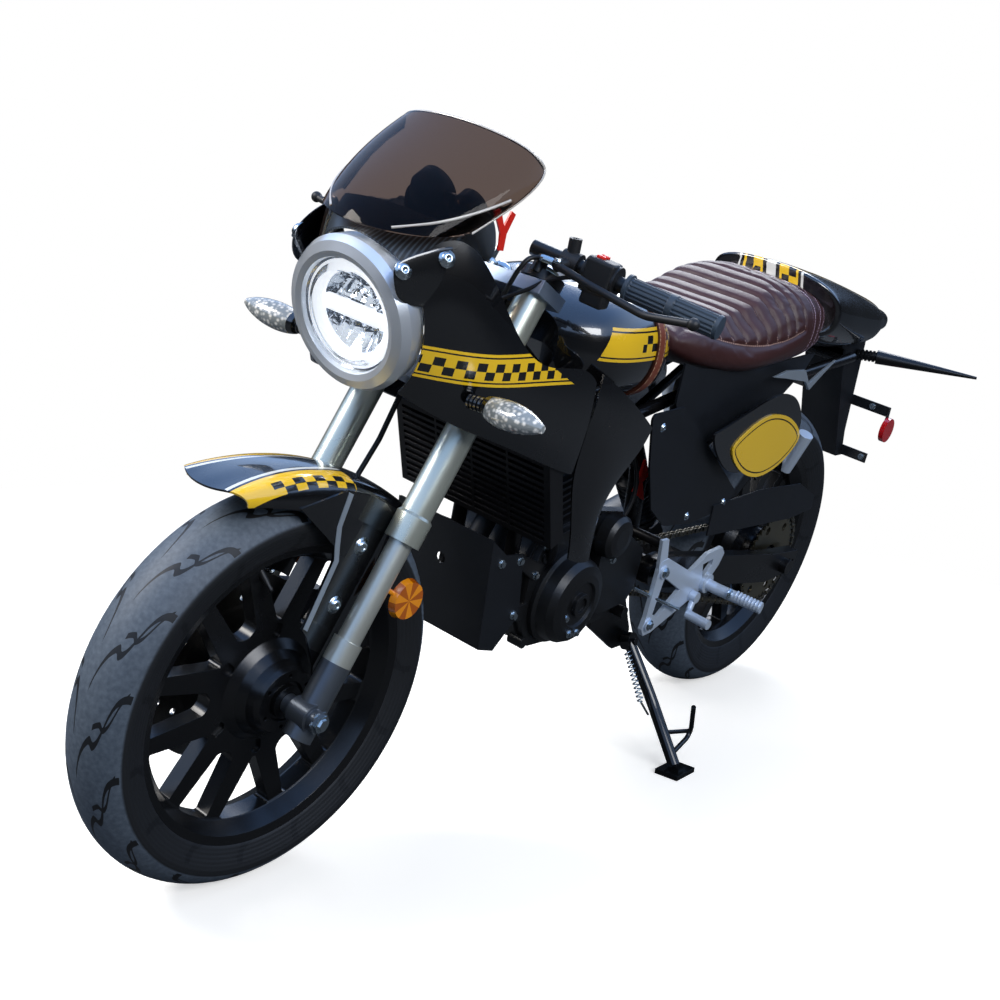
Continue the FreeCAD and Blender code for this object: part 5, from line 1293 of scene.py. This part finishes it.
def make_cowl():
    """Humped tail that takes the seat's bolster in its open front."""
    shape = bmesh.new()
    rings = []
    for step in range(25):
        ring = cowl_ring(COWL_FRONT + (COWL_TIP - COWL_FRONT) * step / 24)
        rings.append([shape.verts.new(point) for point in ring])
    skin(shape, rings)
    shape.faces.new(rings[-1])
    lip = []
    for rim in cowl_ring(COWL_FRONT):
        middle = Vector((rim.x - 8, 0, 850))
        lip.append(shape.verts.new(middle.lerp(rim, 0.93)))
    skin(shape, (rings[0], lip))
    shape.faces.new(lip)
    piece = finished("tail_hump", shape, "cowl_band", "chassis")
    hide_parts("tail_cowl")


def side_plate(shape, outline, side, thick):
    """Flat plate on each side of the machine, from (ahead, up) corners."""
    for sign in BOTH:
        plate(shape, [(ahead, sign * side, up) for ahead, up in outline], LEFT * sign * thick)


TRAY = ((655, 770), (648, 700), (600, 640), (530, 612), (420, 640), (250, 690), (176, 742),
        (150, 776), (300, 762), (470, 752), (600, 760))
BLADE_EDGE = ((1350, 596), (1360, 548), (1357, 522), (1353, 500), (1385, 407), (1377, 402),
              (1344, 498), (1348, 522), (1351, 548), (1341, 592))


def make_under_seat():
    """Black trays between the seat and the side covers, and a bright edge on the mudguard."""
    shape = bmesh.new()
    side_plate(shape, TRAY, 112, 4)
    finished("under_seat_trays", shape, "matte_black", "chassis", smooth=False)
    shape = bmesh.new()
    side_plate(shape, BLADE_EDGE, 66.8, 1)
    finished("mudguard_blade_edges", shape, "blue_steel", "steering", smooth=False)


RACE_OUTLINE = ((470, 618), (425, 655), (350, 677), (262, 664), (200, 624), (246, 577),
                (327, 556), (410, 573))


def closed_spline(points, steps):
    """Points of a smooth closed line through some points."""
    made = []
    for at in range(len(points)):
        near = [points[(at + shift) % len(points)] for shift in (-1, 0, 1, 2)]
        made += [smooth_between(*near, step / steps) for step in range(steps)]
    return made


def make_race_panels():
    """Yellow oval panels with a thin black line inside the edge."""
    shape = bmesh.new()
    for sign in BOTH:
        line = closed_spline(RACE_OUTLINE, 6)
        top = plate(shape, [(ahead, sign * 154.3, up) for ahead, up in line], LEFT * sign * 2.6)
        bmesh.ops.inset_region(shape, faces=top, thickness=7.0, use_even_offset=True)
        black = bmesh.ops.inset_region(shape, faces=top, thickness=2.6, use_even_offset=True)
        for item in black["faces"]:
            item.material_index = 1
    piece = finished("race_panel_plates", shape, "panel_yellow", "chassis", smooth=False)
    piece.data.materials.append(MATERIALS["pinstripe"])
    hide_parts("race_panels")


def bar_line(sign):
    """Outer end of a handlebar, and the way that the bar runs out to it."""
    root = Vector((1100, sign * 78, 934))
    tip = Vector((1034, sign * 352, 900))
    return tip, (tip - root).normalized()


# Along, radius in the grooves and radius on the ribs
GRIP_ROWS = ((0, 11, 11), (0, 19, 19), (5, 19, 19), (6, 16.2, 16.2), (9, 14.6, 16.2),
             (62, 14.6, 16.2), (64, 17.2, 17.2), (72, 17.2, 17.2), (74, 14.6, 16.2),
             (132, 14.6, 16.2), (134, 17, 17), (139, 16, 16), (140, 6, 6))
GRIP_CORNERS = 64


def make_grips():
    """Rubber grips with ribs along them, a flange at the inner end and a collar."""
    shape = bmesh.new()
    for sign in BOTH:
        tip, run = bar_line(sign)
        place = looking(tip - run * 138, run)
        rows = []
        for along, low, high in GRIP_ROWS:
            ring = []
            for corner in range(GRIP_CORNERS):
                angle = math.tau * corner / GRIP_CORNERS
                reach = low if corner % 4 < 2 else high
                spot = Vector((reach * math.cos(angle), reach * math.sin(angle), along))
                ring.append(shape.verts.new(place @ spot))
            rows.append(ring)
        skin(shape, rows)
        shape.faces.new(rows[-1])
    piece = finished("ribbed_grips", shape, "grip_rubber", "steering", smooth=False)
    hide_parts("hand_grips")


def make_bar_controls():
    """Switch housings with their buttons, lever perch clamps and adjusters."""
    shape = bmesh.new()
    buttons = bmesh.new()
    metal = bmesh.new()
    for sign in BOTH:
        tip, run = bar_line(sign)
        rest = looking(tip - run * 176, run)
        rounded_block(shape, (36, 48, 42), 5, rest @ Matrix.Translation((-6, 0, 0)))
        rounded_block(shape, (30, 26, 34), 4, rest @ Matrix.Translation((-8, -26, 4)))
        for shift, wide in ((-10, 9), (4, 7)):
            rounded_block(buttons, (wide, 5, 12), 1.5,
                          rest @ Matrix.Translation((shift, 25, -6)))
        clamp = tip - run * 224
        for height in (-9, 9):
            hex_head(metal, clamp + Vector((-16, 0, height)), (-1, 0, 0), 6, 4)
        turned(metal, [(0, 26), (4.5, 26), (5.5, 22), (5.5, 8), (4, 6), (4, 0)],
               clamp + Vector((18, 0, -4)) - run * 6, run * -1 + Vector((0.3, 0, 0)), 14)
        turned(metal, [(0, 3), (5, 3), (6, 0), (6, -3)], clamp + Vector((30, 0, 2)),
               (0, 0, 1), 16)
    finished("switch_housings", shape, "switch_plastic", "steering", smooth=False)
    finished("switch_buttons", buttons, "red_plastic", "steering", smooth=False)
    finished("perch_hardware", metal, "zinc", "steering", smooth=False)


def make_cables():
    """A control cable and a switch loom on each side, from the bar down behind the lamp."""
    for sign, word in SIDES:
        tip, run = bar_line(sign)
        start = tip - run * 236 + Vector((14, 0, -4))
        wire(f"control_cable_{word}",
             [start, start - run * 30 + Vector((4, 0, 0)), (1134, sign * 90, 912),
              (1132, sign * 66, 850), (1128, sign * 46, 790)], 3.4, "hose_rubber", "steering")
        start = tip - run * 200 + Vector((10, 0, -10))
        wire(f"switch_loom_{word}",
             [start, start - run * 40 + Vector((8, 0, -16)), (1120, sign * 108, 884),
              (1150, sign * 60, 850), (1160, sign * 40, 800)], 3.0, "hose_rubber", "steering")


def make_bolts():
    """Visible fasteners, each standing on the surface that it holds."""
    bolts("mudguard_bolts", ["front_mudguard"], [(1306, 515), (1334, 434)], "steering",
          domed=10.0, sides=BOTH)
    bolts("case_bolts", ["engine_covers", "engine_block"],
          [(887, 467), (790, 446), (767, 463), (822, 322), (840, 351), (800, 320), (932, 355),
           (701, 425), (900, 420), (742, 300)], "chassis", across=9.0)
    bolts("guard_bolts", ["belly_pan"], [(1010, 458), (960, 455), (940, 360)],
          "chassis", across=9.0, sides=BOTH)
    bolts("rearset_bolts", ["footrests"], [(578, 399), (579, 298), (400, 350)], "chassis",
          across=12.0, sides=BOTH)
    bolts("cover_bolts", ["mid_covers"], [(700, 668), (520, 490), (390, 502)], "chassis",
          domed=6.0, sides=BOTH)
    shape = bmesh.new()
    for sign in BOTH:
        for ahead, up in ((-299, 636), (-330, 515)):
            hex_head(shape, (ahead, sign * 96, up), (1, 0, 0), 9, 4)
    finished("hanger_bolts", shape, "zinc", "chassis", smooth=False)
    shape = bmesh.new()
    for sign in BOTH:
        dome_head(shape, along_fork(660.6, sign * FORK_HALF, 0), UP_FORK, 8)
    dome_head(shape, along_fork(672.5, 0, AXLE_LEAD - FORK_OFFSET), UP_FORK, 15)
    for side in (34, -34):
        dome_head(shape, along_fork(660.6, side, -10), UP_FORK, 6)
    finished("yoke_bolts", shape, "zinc", "steering")
    shape = bmesh.new()
    turned(shape, [(0, 8), (8, 8), (9, 4), (13, 4), (13, 0), (17, 0), (17, -3)],
           FRONT_AXLE + LEFT * (FORK_HALF + 30), LEFT, 6)
    finished("front_axle_nut", shape, "zinc", "steering", smooth=False)


COIL_STEPS = 10


def helix(start, end, radius, turns):
    """Points of a coil between two places."""
    run = end - start
    place = looking(start, run)
    points = []
    for step in range(turns * COIL_STEPS + 1):
        angle = math.tau * step / COIL_STEPS
        along = run.length * step / (turns * COIL_STEPS)
        points.append(place @ Vector((radius * math.cos(angle), radius * math.sin(angle),
                                      along)))
    return points


def make_stand_spring():
    """Coil spring along the side stand, from its bracket to a hook on the leg."""
    pivot, foot = Vector((508, 86, 222)), Vector((525, 257, 5))
    beside = Vector((20, 4, 3))
    top, low = pivot.lerp(foot, 0.06) + beside, pivot.lerp(foot, 0.4) + beside
    hook = pivot.lerp(foot, 0.5)
    wire("stand_spring", helix(top, low, 5.5, 12), 1.3, "zinc", "side_stand")
    wire("stand_spring_hook", [low, low.lerp(hook, 0.5), hook], 2.0, "zinc", "side_stand")


TAG_OUTLINE = ((4, -2), (9, 22), (28, 48), (17, 53), (4, 32), (-6, 54), (-16, 50), (-5, 22),
               (-6, -2))


def make_key():
    """Ignition key in its lock on the top yoke, with a forked red tag."""
    shape = bmesh.new()
    lock = along_fork(660.0, 4, 8)
    turned(shape, [(0, 12), (5, 12), (6, 10), (11, 9), (12, 6), (12, -2)], lock, UP_FORK, 24)
    rounded_block(shape, (2.4, 10, 24), 1.0, looking(lock + UP_FORK * 22, UP_FORK))
    finished("ignition_key", shape, "zinc", "steering", smooth=False)
    shape = bmesh.new()
    foot = lock + UP_FORK * 28
    plate(shape, [foot + Vector((ahead, 3, up)) for ahead, up in TAG_OUTLINE], LEFT * 3)
    finished("key_tag", shape, "red_plastic", "steering", smooth=False)


ENGINE_HOSES = ((((985, 60, 590), (950, 96, 560), (900, 102, 500), (872, 98, 452),
                  (868, 84, 436)), 9),
                (((985, -60, 430), (950, -92, 400), (900, -100, 392), (862, -96, 400),
                  (846, -80, 410)), 9),
                (((706, 70, 640), (690, 96, 600), (672, 104, 540), (690, 100, 486),
                  (712, 88, 452)), 4))


def make_hoses():
    """Coolant hoses and a loom beside the engine, and the rod from the gear lever."""
    for number, (points, radius) in enumerate(ENGINE_HOSES):
        wire(f"engine_hose_{number}", points, radius, "hose_rubber", "chassis")
    wire("gear_link_rod", ((498, 158, 318), (560, 150, 340), (640, 132, 372)), 3.2, "zinc",
         "chassis")


def make_peg_ribs():
    """Ribs round the rider's pegs, and rubber rings on the foot levers' toe pieces."""
    for name, look, first, last, radius, count in (
            ("peg_ribs", "forged_alloy", (389, 212, 347), (383, 258, 344.5), 11.5, 8),
            ("toe_rubbers", "hose_rubber", (472, 176, 306), (475.4, 209, 306), 8.4, 6)):
        shape = bmesh.new()
        for sign in BOTH:
            start = Vector((first[0], sign * first[1], first[2]))
            end = Vector((last[0], sign * last[1], last[2]))
            run = (end - start).normalized()
            for step in range(count):
                turned(shape, [(radius - 3, -2), (radius, -1.4), (radius, 1.4), (radius - 3, 2)],
                       start.lerp(end, step / (count - 1)), run, 20)
        finished(name, shape, look, "chassis")


FLAP_ROWS = (((1403, 82, 908), (1362, 97, 930), (1304, 112, 947)),
             ((1398, 90, 886), (1356, 104, 896), (1300, 119, 914)),
             ((1388, 90, 864), (1346, 98, 850), (1296, 126, 880)))
FLAP_BOLTS = ((1386, 91, 902), (1331, 109, 923))


def make_fairing_flaps():
    """Front corners of the fairing, beside the lamp, each with two dome bolts."""
    shape = bmesh.new()
    heads = bmesh.new()
    for sign in BOTH:
        mirror = Vector((1, sign, 1))
        skin(shape, [[shape.verts.new(mirror * Vector(spot)) for spot in row]
                     for row in FLAP_ROWS], closed=False)
        for spot in FLAP_BOLTS:
            dome_head(heads, mirror * Vector(spot), mirror * Vector((0.35, 0.85, 0.38)), 9)
    flaps = finished("fairing_flaps", shape, "fairing_band", "chassis")
    wall = flaps.modifiers.new("wall", "SOLIDIFY")
    wall.thickness, wall.offset = 0.003, -1
    curve = flaps.modifiers.new("curve", "SUBSURF")
    curve.levels = curve.render_levels = 2
    finished("fairing_bolts", heads, "zinc", "chassis")


TRIM_BLADE = ((352, 742), (296, 752), (214, 750), (178, 722), (132, 742), (74, 764),
              (120, 738), (168, 708), (196, 726), (300, 738))
RED_ACCENT = ((640, 590), (612, 560), (628, 548), (606, 512), (650, 532), (644, 556))


def make_small_parts():
    """A trim blade below the tail and a red accent behind the engine, on each side."""
    for sign, word in SIDES:
        shape = bmesh.new()
        plate(shape, [(ahead, sign * (134 - 0.03 * (352 - ahead)), up)
                      for ahead, up in TRIM_BLADE], LEFT * sign * 5)
        finished(f"trim_blade_{word}", shape, "blue_steel", "chassis", smooth=False)
        shape = bmesh.new()
        plate(shape, [(ahead, sign * 82, up) for ahead, up in RED_ACCENT], LEFT * sign * 5)
        finished(f"red_accent_{word}", shape, "red_plastic", "chassis", smooth=False)


make_camera()
make_floor()
make_room()
make_lights()
dress_nodes()
make_wheels()
make_chain()
make_lamp_inside()
make_screen_highlights()
make_gauges()
make_seat()
make_cowl()
make_under_seat()
make_race_panels()
make_grips()
make_bar_controls()
make_cables()
make_bolts()
make_small_parts()
make_stand_spring()
make_peg_ribs()
make_fairing_flaps()
make_key()
make_hoses()

bpy.context.scene.view_settings.view_transform = "Standard"
